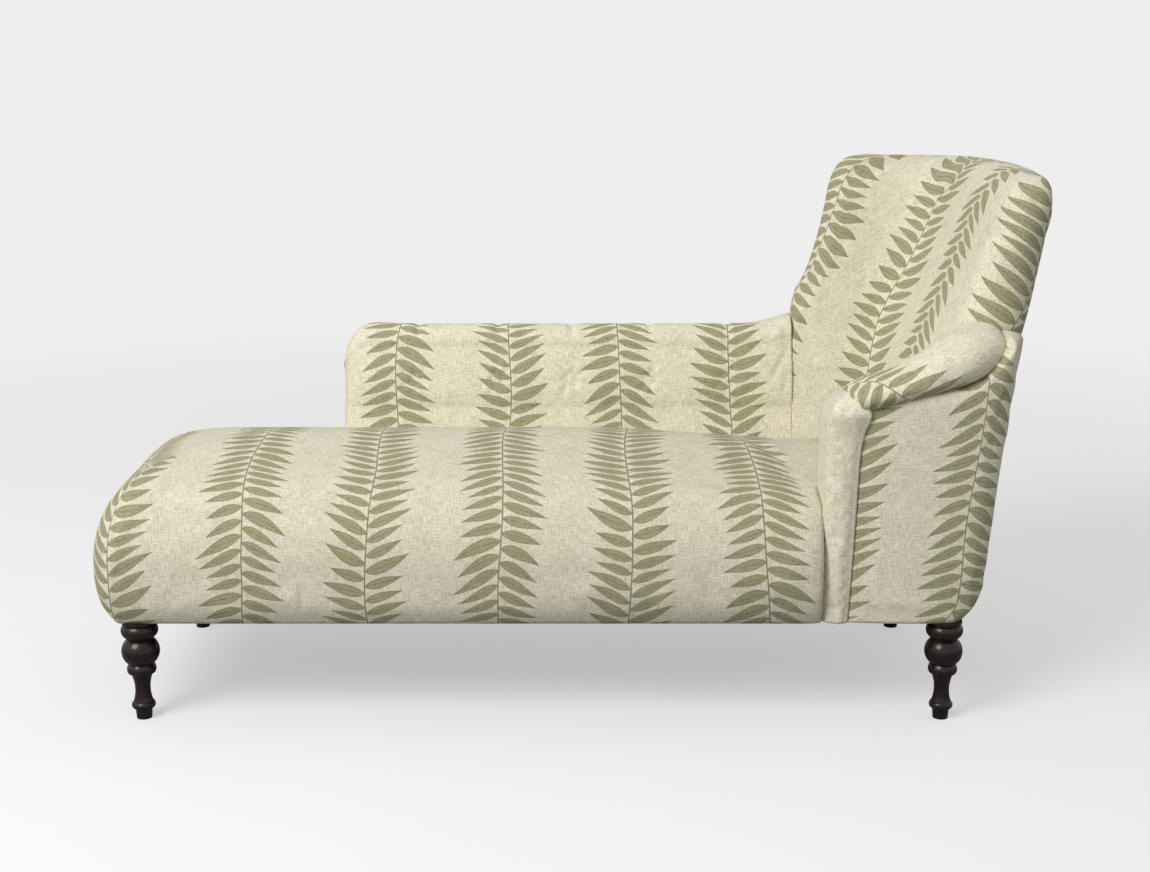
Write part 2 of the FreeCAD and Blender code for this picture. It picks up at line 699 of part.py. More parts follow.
def base_rails():
    """The four rails of the base, the long ones running through at the corners."""
    inner_front = FRAME_FRONT_Y + RAIL_THICK
    inner_rear = FRAME_REAR_Y - RAIL_THICK
    rails = {
        "base_rail_front": box(FRAME_FOOT_X, FRAME_HEAD_X, FRAME_FRONT_Y, inner_front, BASE_Z, RAIL_TOP_Z),
        "base_rail_rear": box(FRAME_FOOT_X, FRAME_HEAD_X, inner_rear, FRAME_REAR_Y, BASE_Z, RAIL_TOP_Z),
        "base_rail_foot_end": box(FRAME_FOOT_X, FRAME_FOOT_X + RAIL_THICK, inner_front, inner_rear,
                                  BASE_Z, RAIL_TOP_Z),
        "base_rail_head_end": box(FRAME_HEAD_X - RAIL_THICK, FRAME_HEAD_X, inner_front, inner_rear,
                                  BASE_Z, RAIL_TOP_Z),
    }
    for number, x in enumerate(STRETCHER_XS, 1):
        rails["base_stretcher_" + str(number)] = box(x - 14.0, x + 14.0, inner_front, inner_rear,
                                                     BASE_Z, RAIL_TOP_Z - 40.0)
    return {name: rail.cut(bolt_spaces()) for name, rail in rails.items()}


def corner_block(x, y, toward_x, toward_y):
    """A three-cornered glue block in one inside corner of the base."""
    corners = [Vector(x, y, BASE_Z), Vector(x + toward_x * BLOCK, y, BASE_Z),
               Vector(x, y + toward_y * BLOCK, BASE_Z)]
    height = RAIL_TOP_Z - 30.0 - BASE_Z
    return Part.Face(Part.makePolygon(corners + corners[:1])).extrude(Vector(0, 0, height))


def corner_blocks():
    """The glue blocks in the base's four inside corners."""
    foot = FRAME_FOOT_X + RAIL_THICK
    head = FRAME_HEAD_X - RAIL_THICK
    front = FRAME_FRONT_Y + RAIL_THICK
    rear = FRAME_REAR_Y - RAIL_THICK
    blocks = {
        "corner_block_front_foot_end": corner_block(foot, front, 1, 1),
        "corner_block_rear_foot_end": corner_block(foot, rear, 1, -1),
        "corner_block_front_head_end": corner_block(head, front, -1, 1),
        "corner_block_rear_head_end": corner_block(head, rear, -1, -1),
    }
    return {name: block.cut(bolt_spaces()) for name, block in blocks.items()}


STRAP_WIDTH = 50.0
STRAP_ROOM_FRONT = 4.0
STRAP_ROOM_REAR = 12.0


def webbing_cross():
    """Thirteen straps from front to rear under the seat."""
    count = 13
    width = STRAP_WIDTH
    first = FRAME_FOOT_X + 45.0
    last = SEAT_HEAD_X - 25.0
    straps = []
    for index in range(count):
        x = first + (last - first) * index / (count - 1)
        straps.append(box(x - width / 2, x + width / 2, FRAME_FRONT_Y + STRAP_ROOM_FRONT,
                          FRAME_REAR_Y - STRAP_ROOM_REAR, WEBBING_Z, WEBBING_Z + STRAP_THICK))
    return Part.makeCompound(straps)


def webbing_long():
    """Five straps along the seat, over the cross straps."""
    count = 5
    width = STRAP_WIDTH
    straps = []
    for index in range(count):
        y = -290.0 + 95.0 * index
        straps.append(box(FRAME_FOOT_X + 4.0, SEAT_HEAD_X, y - width / 2, y + width / 2,
                          WEBBING_Z + STRAP_THICK, WEBBING_Z + 2 * STRAP_THICK))
    return Part.makeCompound(straps)


def seat_hessian():
    """The cloth between the webbing and the seat's foam."""
    z = WEBBING_Z + 2 * STRAP_THICK
    return box(FRAME_FOOT_X + STRAP_ROOM_FRONT, SEAT_HEAD_X, FRAME_FRONT_Y + STRAP_ROOM_FRONT,
               FRAME_REAR_Y - STRAP_ROOM_REAR, z, z + 1.5)


def dust_cloth():
    """The thin black cloth that closes the base from below, cut round the leg tops."""
    room = LEG_TOP_R + 3.0
    cloth = box(FRAME_FOOT_X + 6.0, FRAME_HEAD_X - 6.0, FRAME_FRONT_Y + 6.0, FRAME_REAR_Y - 6.0,
                HEM_Z - 0.9, HEM_Z + 0.1)
    for _, x, y in LEGS:
        cloth = cloth.cut(box(x - room, x + room, y - room, y + room, HEM_Z - 4.0, HEM_Z + 4.0))
    return max(cloth.Solids, key=lambda solid: solid.Volume)


def low_back_timber():
    """The low back's raked posts and its top rail."""
    near, far = LOW_BACK_TIMBER
    top = LOW_BACK_Z - 36.0
    rail = 34.0
    first = LOW_BACK_FOOT_X + COVER + 8.0
    pieces = {"low_back_top_rail": raked_box(first, BACK_JOIN_X - 1.0, near, far, top - rail, top)}
    places = (("foot_end", first), ("middle_1", -165.0), ("middle_2", 130.0),
              ("head_end", BACK_JOIN_X - LOW_BACK_POST - 2.0))
    for name, x in places:
        pieces["low_back_post_" + name] = raked_box(x, x + LOW_BACK_POST, near, far,
                                                    HEM_Z + 4.0, top - rail - FIT)
    return pieces


def head_timber():
    """The head back's posts, its bent top rail and its tack rail."""
    posts = {
        "head_back_post_rear": head_post(rear_post_place, 40.0, 24.0),
        "head_back_post_corner": head_post(corner_post_place, 30.0, 30.0),
        "head_back_post_front": head_post(front_post_place, 24.0, 40.0),
    }
    tack = head_band(HEAD_TACK_Z[0], HEAD_TACK_Z[1], HEAD_TIMBER_NEAR, HEAD_TIMBER_FAR + 4.0, 26.0)
    for post in posts.values():
        tack = tack.cut(post)
    pieces = dict(posts)
    pieces["head_back_tack_rail"] = tack
    pieces["head_back_top_rail"] = head_band(HEAD_RAIL_Z[0], HEAD_RAIL_Z[1], HEAD_TIMBER_NEAR,
                                             HEAD_TIMBER_FAR + 2.0, 40.0)
    return pieces


def main():
    for name, x, y in LEGS:
        save(name, leg(x, y))
    save("hanger_bolts", hanger_bolts())
    for name, piece in base_rails().items():
        save(name, piece)
    for name, piece in corner_blocks().items():
        save(name, piece)
    save("webbing_cross_straps", webbing_cross())
    save("webbing_long_straps", webbing_long())
    save("seat_hessian", seat_hessian())
    save("dust_cloth", dust_cloth())
    save("seat_foam", seat_foam())
    save("seat_cover", seat_cover())
    for name, piece in low_back_timber().items():
        save(name, piece)
    save("low_back_foam", low_back_foam())
    save("low_back_cover", low_back_cover())
    save("low_back_buttons", low_back_buttons())
    for name, piece in head_timber().items():
        save(name, piece)
    save("head_back_foam", head_back_foam())
    save("head_back_cover", head_back_cover())
    box_of_arm = arm_box()
    save("arm_front_band", box_of_arm.cut(beyond_band()))
    save("arm_side_panel", box_of_arm.common(beyond_band()))
    save("arm_roll", arm_roll())
    save("arm_board", arm_board())
    save("arm_post", arm_post())
    save("arm_side_rail", arm_side_rail())


main()
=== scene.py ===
"""Looks of the chaise longue: covers, tufts, buttons, legs and finishes around its fixed frame.

Metres, +Z up. +X is the head end, -X the foot end, -Y the open front and +Y the low back.
"""

import json
import logging
import math
from dataclasses import dataclass
from enum import Enum
from typing import Any, Optional, Union

import bmesh
import bpy
import numpy as np
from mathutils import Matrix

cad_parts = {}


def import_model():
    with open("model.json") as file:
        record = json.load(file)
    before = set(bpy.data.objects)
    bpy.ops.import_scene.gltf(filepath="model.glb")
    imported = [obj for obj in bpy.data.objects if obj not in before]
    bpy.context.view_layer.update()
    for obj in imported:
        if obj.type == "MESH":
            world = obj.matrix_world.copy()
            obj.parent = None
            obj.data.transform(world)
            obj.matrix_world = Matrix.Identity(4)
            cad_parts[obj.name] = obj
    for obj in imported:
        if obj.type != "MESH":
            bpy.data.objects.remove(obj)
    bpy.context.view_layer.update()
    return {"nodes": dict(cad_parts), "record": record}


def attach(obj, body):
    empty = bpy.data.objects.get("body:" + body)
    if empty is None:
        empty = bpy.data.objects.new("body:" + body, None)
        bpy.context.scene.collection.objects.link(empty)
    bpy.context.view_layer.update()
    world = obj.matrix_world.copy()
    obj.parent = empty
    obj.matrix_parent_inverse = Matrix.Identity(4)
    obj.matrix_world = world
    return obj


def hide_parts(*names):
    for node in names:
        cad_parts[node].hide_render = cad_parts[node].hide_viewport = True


logging.basicConfig(level=logging.INFO, format="%(message)s")
LOG = logging.getLogger("chaise_longue")

Array = np.ndarray
Colour = tuple[float, float, float]

BODY = "root"
RAKE = math.tan(math.radians(16.0))
HEM_Z = 0.181
WALL_FOOT_Z = 0.1815
ARM_FRONT_X = 0.424
ARM_BACK_Y = -0.2645
LOW_BACK_FOOT_X = -0.470
BACK_JOIN_X = 0.4395
COLUMN_PERIOD = 0.224
GAP = 0.0012


# Numbers and curves

def back_face_y(z: Array) -> Array:
    """The raked front face of the low back: 0.229 at 0.5 high, further back as it rises."""
    return 0.229 + (z - 0.5) * RAKE


def ease(t: Array) -> Array:
    """A smooth step: 3t squared less 2t cubed, with t held between 0 and 1."""
    t = np.clip(t, 0.0, 1.0)
    return t * t * (3.0 - 2.0 * t)


def bell(distance: Array, width: float) -> Array:
    """A bell curve: 1 at no distance, falling with its square over the width."""
    return np.exp(-((distance / width) ** 2))


def smooth_columns(knots: Array, values: Array, at: Array) -> Array:
    """Every column of a table, carried smoothly between its rows without overshoot.

    Between two rows it is a cubic whose slopes are the harmonic means of the slopes on both
    sides, and nought where those differ in sign.

    Args:
        knots: Rising parameter of each row.
        values: Table of rows by columns.
        at: Parameters to work out.

    Returns:
        One row of columns for each parameter.
    """
    step = np.diff(knots)[:, None]
    slope = np.diff(values, axis=0) / step
    middle = np.zeros_like(values)
    same = slope[:-1] * slope[1:] > 0
    w0 = 2 * step[1:] + step[:-1]
    w1 = step[1:] + 2 * step[:-1]
    safe0 = np.where(same, slope[:-1], 1.0)
    safe1 = np.where(same, slope[1:], 1.0)
    middle[1:-1] = np.where(same, (w0 + w1) / (w0 / safe0 + w1 / safe1), 0.0)
    middle[0] = slope[0]
    middle[-1] = slope[-1]
    index = np.clip(np.searchsorted(knots, at, side="right") - 1, 0, len(knots) - 2)
    width = step[index]
    t = (at - knots[index])[:, None] / width
    low, high = values[index], values[index + 1]
    m0, m1 = middle[index] * width, middle[index + 1] * width
    return ((2 * t**3 - 3 * t**2 + 1) * low + (t**3 - 2 * t**2 + t) * m0
            + (-2 * t**3 + 3 * t**2) * high + (t**3 - t**2) * m1)


def run_length(points: Array, axis: int) -> Array:
    """Distance covered along one axis of a grid of points, starting from nought."""
    legs = np.linalg.norm(np.diff(points, axis=axis), axis=-1)
    start = np.zeros_like(np.take(legs, [0], axis=axis))
    return np.cumsum(np.concatenate([start, legs], axis=axis), axis=axis)


def cubic(p0: Array, p1: Array, p2: Array, p3: Array, t: Array) -> Array:
    """A Bezier cubic: the four points weighted by the cubic Bernstein polynomials of t."""
    s = 1.0 - t
    return s**3 * p0 + 3 * s * s * t * p1 + 3 * s * t * t * p2 + t**3 * p3


def through(p0: Array, pm: Array, p1: Array, t: Array) -> Array:
    """The parabola that leaves p0, passes pm at t of a half and ends at p1."""
    bend = 2.0 * pm - 0.5 * (p0 + p1)
    s = 1.0 - t
    return s * s * p0 + 2 * s * t * bend + t * t * p1


def line(p0: Array, p1: Array, t: Array) -> Array:
    """The straight line from p0 to p1."""
    return p0 + (p1 - p0) * t


def spot(x: Any, y: Any) -> Array:
    """Level by level places in plan, ready to be run along one more axis."""
    return np.stack(np.broadcast_arrays(x, y), axis=-1)[:, None]


def oval(centre: Array, half_x: Array, half_y: Array, turn: Array) -> Array:
    """Points on an oval: the centre plus its halves times the cosine and sine of the turn."""
    return centre + np.stack([half_x[:, None] * np.cos(turn),
                              half_y[:, None] * np.sin(turn)], axis=-1)


def wrapped(grid: Array) -> Array:
    """A grid with its first column repeated at the end."""
    return np.concatenate([grid, grid[:, :1]], axis=1)


def raised(plan: Array, z: Array) -> Array:
    """Level slices in plan, each lifted to its own height."""
    return np.concatenate([plan, np.repeat(z[:, None], plan.shape[1], 1)[..., None]], axis=-1)


def travelled(steps: Array) -> Array:
    """Distance covered after each step, starting from nought."""
    return np.concatenate([[0.0], np.cumsum(steps)])


# Meshes

class Wrap(Enum):
    """How a grid of points closes on itself."""

    OPEN = "open"
    COLUMNS = "columns"


def grid_piece(name: str, grids: list[tuple[Array, Array]],
               wrap: Wrap = Wrap.COLUMNS) -> bpy.types.Object:
    """A mesh of four-sided faces on one or more grids of points.

    Doubled points at seams and poles are merged, every face is turned outwards and shaded
    smoothly.

    Args:
        name: Object's name.
        grids: Points as rows by columns by three, each with its place on the cloth as rows by
            columns by two. When the columns wrap, the cloth has one more column.
        wrap: Whether the last column joins the first.

    Returns:
        The new object, linked to the scene.
    """
    points, quads, cloth, base = [], [], [], 0
    for grid, place in grids:
        rows, columns = grid.shape[:2]
        index = np.arange(rows * columns).reshape(rows, columns) + base
        right = np.roll(index, -1, axis=1)
        last = columns if wrap is Wrap.COLUMNS else columns - 1
        quads.append(np.stack([index[:-1, :last], right[:-1, :last], right[1:, :last],
                               index[1:, :last]], axis=-1).reshape(-1, 4))
        wide = np.arange(rows * place.shape[1]).reshape(rows, place.shape[1])
        at = np.stack([wide[:-1, :last], wide[:-1, 1:last + 1], wide[1:, 1:last + 1],
                       wide[1:, :last]], axis=-1).reshape(-1)
        cloth.append(place.reshape(-1, 2)[at])
        points.append(grid.reshape(-1, 3))
        base += rows * columns
    mesh = bpy.data.meshes.new(name)
    mesh.from_pydata(np.concatenate(points).tolist(), [], np.concatenate(quads).tolist())
    layer = mesh.uv_layers.new(name="cloth")
    layer.data.foreach_set("uv", np.concatenate(cloth).astype(np.float32).ravel())
    work = bmesh.new()
    work.from_mesh(mesh)
    bmesh.ops.remove_doubles(work, verts=work.verts, dist=2e-5)
    bmesh.ops.dissolve_degenerate(work, edges=work.edges, dist=1e-6)
    bmesh.ops.recalc_face_normals(work, faces=work.faces)
    for face in work.faces:
        face.smooth = True
    work.to_mesh(mesh)
    work.free()
    piece = bpy.data.objects.new(name, mesh)
    bpy.context.scene.collection.objects.link(piece)
    return piece


def coordinates(piece: bpy.types.Object) -> Array:
    """The mesh's points as an array."""
    flat = np.empty(len(piece.data.vertices) * 3, np.float32)
    piece.data.vertices.foreach_get("co", flat)
    return flat.reshape(-1, 3).astype(float)


def place_points(piece: bpy.types.Object, points: Array) -> None:
    """Writes an array of points back to the mesh."""
    piece.data.vertices.foreach_set("co", points.astype(np.float32).ravel())
    piece.data.update()


# Shader maths

Input = Union["Value", float, int]


class Value:
    """A number socket whose arithmetic adds Math nodes."""

    def __init__(self, bench: "NodeBench", socket: bpy.types.NodeSocket) -> None:
        self.bench = bench
        self.socket = socket

    def _math(self, operation: str, *terms: Input) -> "Value":
        """One Math node on up to three terms."""
        return self.bench.add("ShaderNodeMath", {"operation": operation},
                              {i: term for i, term in enumerate(terms)})

    def __add__(self, other: Input) -> "Value":
        """Sum."""
        return self._math("ADD", self, other)

    def __radd__(self, other: Input) -> "Value":
        """Sum with a plain number first."""
        return self._math("ADD", other, self)

    def __sub__(self, other: Input) -> "Value":
        """Difference."""
        return self._math("SUBTRACT", self, other)

    def __rsub__(self, other: Input) -> "Value":
        """Difference with a plain number first."""
        return self._math("SUBTRACT", other, self)

    def __mul__(self, other: Input) -> "Value":
        """Product."""
        return self._math("MULTIPLY", self, other)

    def __rmul__(self, other: Input) -> "Value":
        """Product with a plain number first."""
        return self._math("MULTIPLY", other, self)

    def __truediv__(self, other: Input) -> "Value":
        """Quotient."""
        return self._math("DIVIDE", self, other)

    def __abs__(self) -> "Value":
        """Size without sign."""
        return self._math("ABSOLUTE", self)

    def power(self, exponent: Input) -> "Value":
        """This value raised to an exponent."""
        return self._math("POWER", self, exponent)

    def sine(self) -> "Value":
        """Sine of this angle in radians."""
        return self._math("SINE", self)

    def floor(self) -> "Value":
        """The whole number below."""
        return self._math("FLOOR", self)

    def fraction(self) -> "Value":
        """What is left above the whole number."""
        return self._math("FRACT", self)

    def sign(self) -> "Value":
        """Minus one, nought or one."""
        return self._math("SIGN", self)

    def least(self, other: Input) -> "Value":
        """The smaller of two."""
        return self._math("MINIMUM", self, other)

    def most(self, other: Input) -> "Value":
        """The larger of two."""
        return self._math("MAXIMUM", self, other)

    def step(self, low: float, high: float) -> "Value":
        """A smooth step from 0 at low to 1 at high."""
        return self.bench.add("ShaderNodeMapRange", {"interpolation_type": "SMOOTHSTEP"},
                              {"Value": self, "From Min": low, "From Max": high})


class NodeBench:
    """Adds nodes to one material and links them."""

    def __init__(self, name: str) -> None:
        self.material = bpy.data.materials.new(name)
        self.material.use_nodes = True
        self.tree = self.material.node_tree
        self.shader = self.tree.nodes["Principled BSDF"]

    def add(self, kind: str, settings: Optional[dict[str, Any]] = None,
            inputs: Optional[dict[Union[str, int], Any]] = None,
            output: Union[str, int] = 0) -> Value:
        """Adds any node.

        Args:
            kind: The node's type.
            settings: Its properties, set before its sockets.
            inputs: Values or links by socket name or number.
            output: Socket to return.

        Returns:
            The chosen output.
        """
        node = self.tree.nodes.new(kind)
        for key, setting in (settings or {}).items():
            setattr(node, key, setting)
        for key, value in (inputs or {}).items():
            self.feed(node.inputs[key], value)
        return Value(self, node.outputs[output])

    def feed(self, socket: bpy.types.NodeSocket, value: Any) -> None:
        """Links a value to a socket, or sets a plain number, vector or colour on it."""
        if isinstance(value, Value):
            self.tree.links.new(value.socket, socket)
        elif isinstance(value, tuple) and socket.type == "RGBA":
            socket.default_value = (*value, 1.0)
        else:
            socket.default_value = value

    def mix(self, factor: Input, low: Any, high: Any) -> Value:
        """A colour between two colours."""
        return self.add("ShaderNodeMix", {"data_type": "RGBA"}, {0: factor, 6: low, 7: high}, 2)

    def noise(self, vector: Value, scale: float, detail: float = 2.0, rough: float = 0.5) -> Value:
        """Soft noise between 0 and 1 on a vector."""
        return self.add("ShaderNodeTexNoise", {"noise_dimensions": "3D"},
                        {"Vector": vector, "Scale": scale, "Detail": detail, "Roughness": rough})

    def vector(self, x: Input, y: Input, z: Input = 0.0) -> Value:
        """Three numbers as one vector."""
        return self.add("ShaderNodeCombineXYZ", None, {0: x, 1: y, 2: z})

    def parts(self, vector: Value) -> tuple[Value, Value, Value]:
        """The three numbers of a vector."""
        return tuple(self.add("ShaderNodeSeparateXYZ", None, {0: vector}, i) for i in range(3))

    def surface(self, **sockets: Any) -> None:
        """Feeds the shader's own sockets, with underscores in the names for spaces."""
        for key, value in sockets.items():
            self.feed(self.shader.inputs[key.replace("_", " ")], value)

    def bump(self, height: Value, distance: float, strength: float = 1.0) -> None:
        """Feeds a height through a Bump node to the shader's normal."""
        normal = self.add("ShaderNodeBump", None,
                          {"Height": height, "Distance": distance, "Strength": strength})
        self.surface(Normal=normal)


def screen(red: float, green: float, blue: float) -> Colour:
    """A colour of 0 to 255 screen values as linear light."""
    shares = np.array([red, green, blue]) / 255.0
    light = np.where(shares <= 0.04045, shares / 12.92, ((shares + 0.055) / 1.055) ** 2.4)
    return tuple(float(v) for v in light)


class Design(Enum):
    """Whether the linen carries the leafy stems."""

    PLAIN = "plain"
    STEMS = "stems"


@dataclass(frozen=True)
class Linen:
    """Natural linen, plain or printed with columns of simple leaves on waving stems.

    It is worked on the cloth's own coordinates in metres: u across the columns, with a stem at
    each whole period, and v along the stems.
    """

    name: str
    design: Design = Design.STEMS
    ground: Colour = screen(244, 239, 216)
    shade: Colour = screen(178, 168, 140)
    leaf: Colour = screen(153, 149, 111)
    leaf_dark: Colour = screen(108, 105, 72)
    leaf_pale: Colour = screen(186, 182, 146)
    spacing: float = 0.0262
    reach: float = 0.080
    half_width: float = 0.0104
    thread: float = 0.0014
    # Columns beyond this one are left bare
    last_column: int = 99
    # Below 1, every colour of the cloth is darkened as painted shade, standing for less light on
    # the seat than on the backs
    tone: float = 1.0

    def make(self) -> bpy.types.Material:
        """Builds the material.

        Returns:
            The linen with its slubs, weave and, where chosen, its print.
        """
        bench = NodeBench(self.name)
        place = bench.add("ShaderNodeUVMap", {"uv_map": "cloth"})
        u, v, _ = bench.parts(place)
        cross = bench.noise(bench.vector(u * 60.0, v * 560.0), 1.0, 3.0, 0.6)
        down = bench.noise(bench.vector(u * 560.0, v * 60.0, 7.0), 1.0, 3.0, 0.6)
        cloud = bench.noise(bench.vector(u, v, 3.0), 24.0, 3.0, 0.55)
        slub = cross.step(0.34, 0.70) * 0.5 + down.step(0.34, 0.70) * 0.5
        turn = 2.0 * math.pi / self.thread
        weave = (u * turn).sine() * (v * turn).sine()
        tone = slub * 0.86 + cloud.step(0.35, 0.70) * 0.12 + weave * 0.05 - 0.08
        cloth = bench.mix(tone, self._with_painted_shade(self.ground), self._with_painted_shade(self.shade))
        if self.design is Design.STEMS:
            cover, dark, pale = self._stems(bench, u, v)
            threads = (cross * 0.55 + down * 0.45).step(0.38, 0.62)
            ink = bench.mix(dark, self._with_painted_shade(self.leaf), self._with_painted_shade(self.leaf_dark))
            ink = bench.mix(pale * 0.36 + threads * 0.46, ink, self._with_painted_shade(self.leaf_pale))
            cloth = bench.mix(cover * (0.98 - slub * 0.14), cloth, ink)
        bench.surface(Base_Color=cloth, Roughness=0.86 + cloud * 0.10,
                      Sheen_Weight=0.10, Sheen_Roughness=0.5, Specular_IOR_Level=0.2)
        bench.bump(cross * 0.5 + down * 0.5 + weave * 0.22, 0.0006, 0.8)
        return bench.material

    def _with_painted_shade(self, colour: Colour) -> Colour:
        """A colour scaled by the cloth's tone share, which below 1 is painted shade."""
        return tuple(share * self.tone for share in colour)

    def _stems(self, bench: NodeBench, u: Value, v: Value) -> tuple[Value, Value, Value]:
        """Columns of leaves.

        A column's stem waves with a sine of v. On each side a leaf's axis climbs with its
        distance s from the stem, and the leaf is where the distance from that axis is under
        w sin(pi (s / L)^0.7), with the length L drawn at random for each leaf. Every other
        column hangs the other way and is shifted.

        Args:
            bench: Where nodes are added.
            u: Place across the columns.
            v: Place along the stems.

        Returns:
            Cover of the print, how dark its rims and ribs are, and its pale flecks.
        """
        wander = bench.noise(bench.vector(u, v, 11.0), 6.0, 1.0) - 0.5
        column = (u / COLUMN_PERIOD + 0.5).floor()
        turned = (column * 0.5).fraction() * 4.0 - 1.0
        along = v * turned + column * 0.0613 + wander * 0.010
        across = u - column * COLUMN_PERIOD + wander * 0.006
        across = across + (along * (2.0 * math.pi / 0.46)).sine() * 0.0045
        side = across.sign()
        out = abs(across)
        lift = 0.30 + (along * (2.0 * math.pi / 0.19)).sine() * 0.13
        climb = along - out * lift - out * out * 1.5
        count = climb / self.spacing + side * 0.25
        leaf = count.floor()
        off = abs(count.fraction() - 0.5) * self.spacing
        chance = bench.add("ShaderNodeTexWhiteNoise", {"noise_dimensions": "3D"},
                           {"Vector": bench.vector(leaf, column, side)})
        length = self.reach * (0.76 + chance * 0.26)
        share = (out / length).least(1.0)
        ragged = bench.noise(bench.vector(u, v, 5.0), 420.0, 2.0) - 0.5
        width = (share.power(0.70) * math.pi).sine() * (self.half_width * (0.88 + chance * 0.2))
        edge = width + ragged * 0.0024 * (1.0 - share.power(6.0)) - off
        body = edge.step(-0.0003, 0.0006)
        stem = 1.0 - out.step(0.0008, 0.0016)
        vein = 1.0 - abs(((out + off * 0.9) / 0.0052).fraction() - 0.5).step(0.0, 0.28)
        rib = 1.0 - off.step(0.0005, 0.0020)
        rim = 1.0 - edge.step(0.0004, 0.0034)
        dark = (rim * 0.80).most(rib * 0.85).most(vein * 0.60).most(stem)
        pale = bench.noise(bench.vector(u, v, 9.0), 260.0, 2.0).step(0.48, 0.72)
        kept = 1.0 - column.step(self.last_column + 0.2, self.last_column + 0.6)
        return body.most(stem) * kept, dark, pale * (1.0 - stem)


@dataclass(frozen=True)
class Lacquer:
    """Near-black brown stain over turned wood, under a gloss lacquer."""

    name: str = "turned_leg_lacquer"
    dark: Colour = screen(22, 14, 12)
    light: Colour = screen(50, 30, 24)

    def make(self) -> bpy.types.Material:
        """Builds the material: long grain, fine pores and a lightly worn coat."""
        bench = NodeBench(self.name)
        place = bench.add("ShaderNodeTexCoord", None, None, "Object")
        x, y, z = bench.parts(place)
        grain = bench.noise(bench.vector(x * 160.0, y * 160.0, z * 12.0), 1.0, 4.0, 0.6)
        pores = bench.noise(bench.vector(x * 900.0, y * 900.0, z * 40.0), 1.0, 2.0, 0.5)
        wear = bench.noise(place, 35.0, 2.0, 0.6)
        bench.surface(Base_Color=bench.mix(grain.step(0.35, 0.80) * 0.8, self.dark, self.light),
                      Roughness=0.30 + wear * 0.16 + pores * 0.06, Specular_IOR_Level=0.18,
                      Coat_Weight=0.34 - wear.step(0.55, 0.85) * 0.12,
                      Coat_Roughness=0.07)
        bench.bump(grain * 0.5 + pores * 0.5, 0.0002, 0.5)
        return bench.material


class Stuff(Enum):
    """The plain materials inside the piece."""

    TIMBER = "planed_beech"
    FOAM = "cut_foam"
    JUTE = "jute_webbing_weave"
    HESSIAN = "coarse_hessian"
    DUST_CLOTH = "black_dust_cloth"
    STEEL = "zinc_steel"


INSIDE_SLOTS = {"frame_timber": Stuff.TIMBER, "foam": Stuff.FOAM, "jute_webbing": Stuff.JUTE,
                "hessian": Stuff.HESSIAN, "dust_cloth": Stuff.DUST_CLOTH,
                "bolt_steel": Stuff.STEEL}


@dataclass(frozen=True)
class InnerFinish:
    """A finish for a piece inside, as two colours mixed by its grain, weave or pores."""

    stuff: Stuff

    def make(self) -> bpy.types.Material:
        """Builds the material for its kind of stuff."""
        bench = NodeBench(self.stuff.value)
        place = bench.add("ShaderNodeTexCoord", None, None, "Object")
        x, y, z = bench.parts(place)
        fine = bench.noise(place, 240.0, 3.0, 0.6)
        if self.stuff is Stuff.TIMBER:
            grain = bench.noise(bench.vector(x * 9.0, y * 120.0, z * 120.0), 1.0, 5.0, 0.6)
            colour = bench.mix(grain.step(0.3, 0.75), screen(212, 180, 140), screen(176, 138, 98))
            height, rough, depth = grain, 0.62 + grain * 0.15, 0.0004
        elif self.stuff is Stuff.FOAM:
            colour = bench.mix(fine.step(0.35, 0.70), screen(240, 232, 205), screen(214, 202, 168))
            height, rough, depth = fine, 0.9 + fine * 0.05, 0.0008
        elif self.stuff is Stuff.STEEL:
            colour = bench.mix(fine, screen(196, 198, 198), screen(150, 152, 152))
            height, rough, depth = fine, 0.30 + fine * 0.15, 0.0001
            bench.surface(Metallic=1.0)
        else:
            pitch, light, dark = {
                Stuff.JUTE: (0.0032, screen(186, 150, 104), screen(132, 98, 62)),
                Stuff.HESSIAN: (0.0021, screen(190, 163, 118), screen(142, 114, 74)),
                Stuff.DUST_CLOTH: (0.0011, screen(44, 43, 42), screen(20, 20, 20)),
            }[self.stuff]
            turn = 2.0 * math.pi / pitch
            weave = (x * turn).sine() * (y * turn).sine() * 0.5 + 0.5
            colour = bench.mix(weave * 0.6 + fine * 0.4, dark, light)
            height, rough, depth = weave * 0.7 + fine * 0.3, 0.88 + fine * 0.08, 0.0006
        bench.surface(Base_Color=colour, Roughness=rough)
        bench.bump(height, depth, 0.7)
        return bench.material


# Padding by simulation

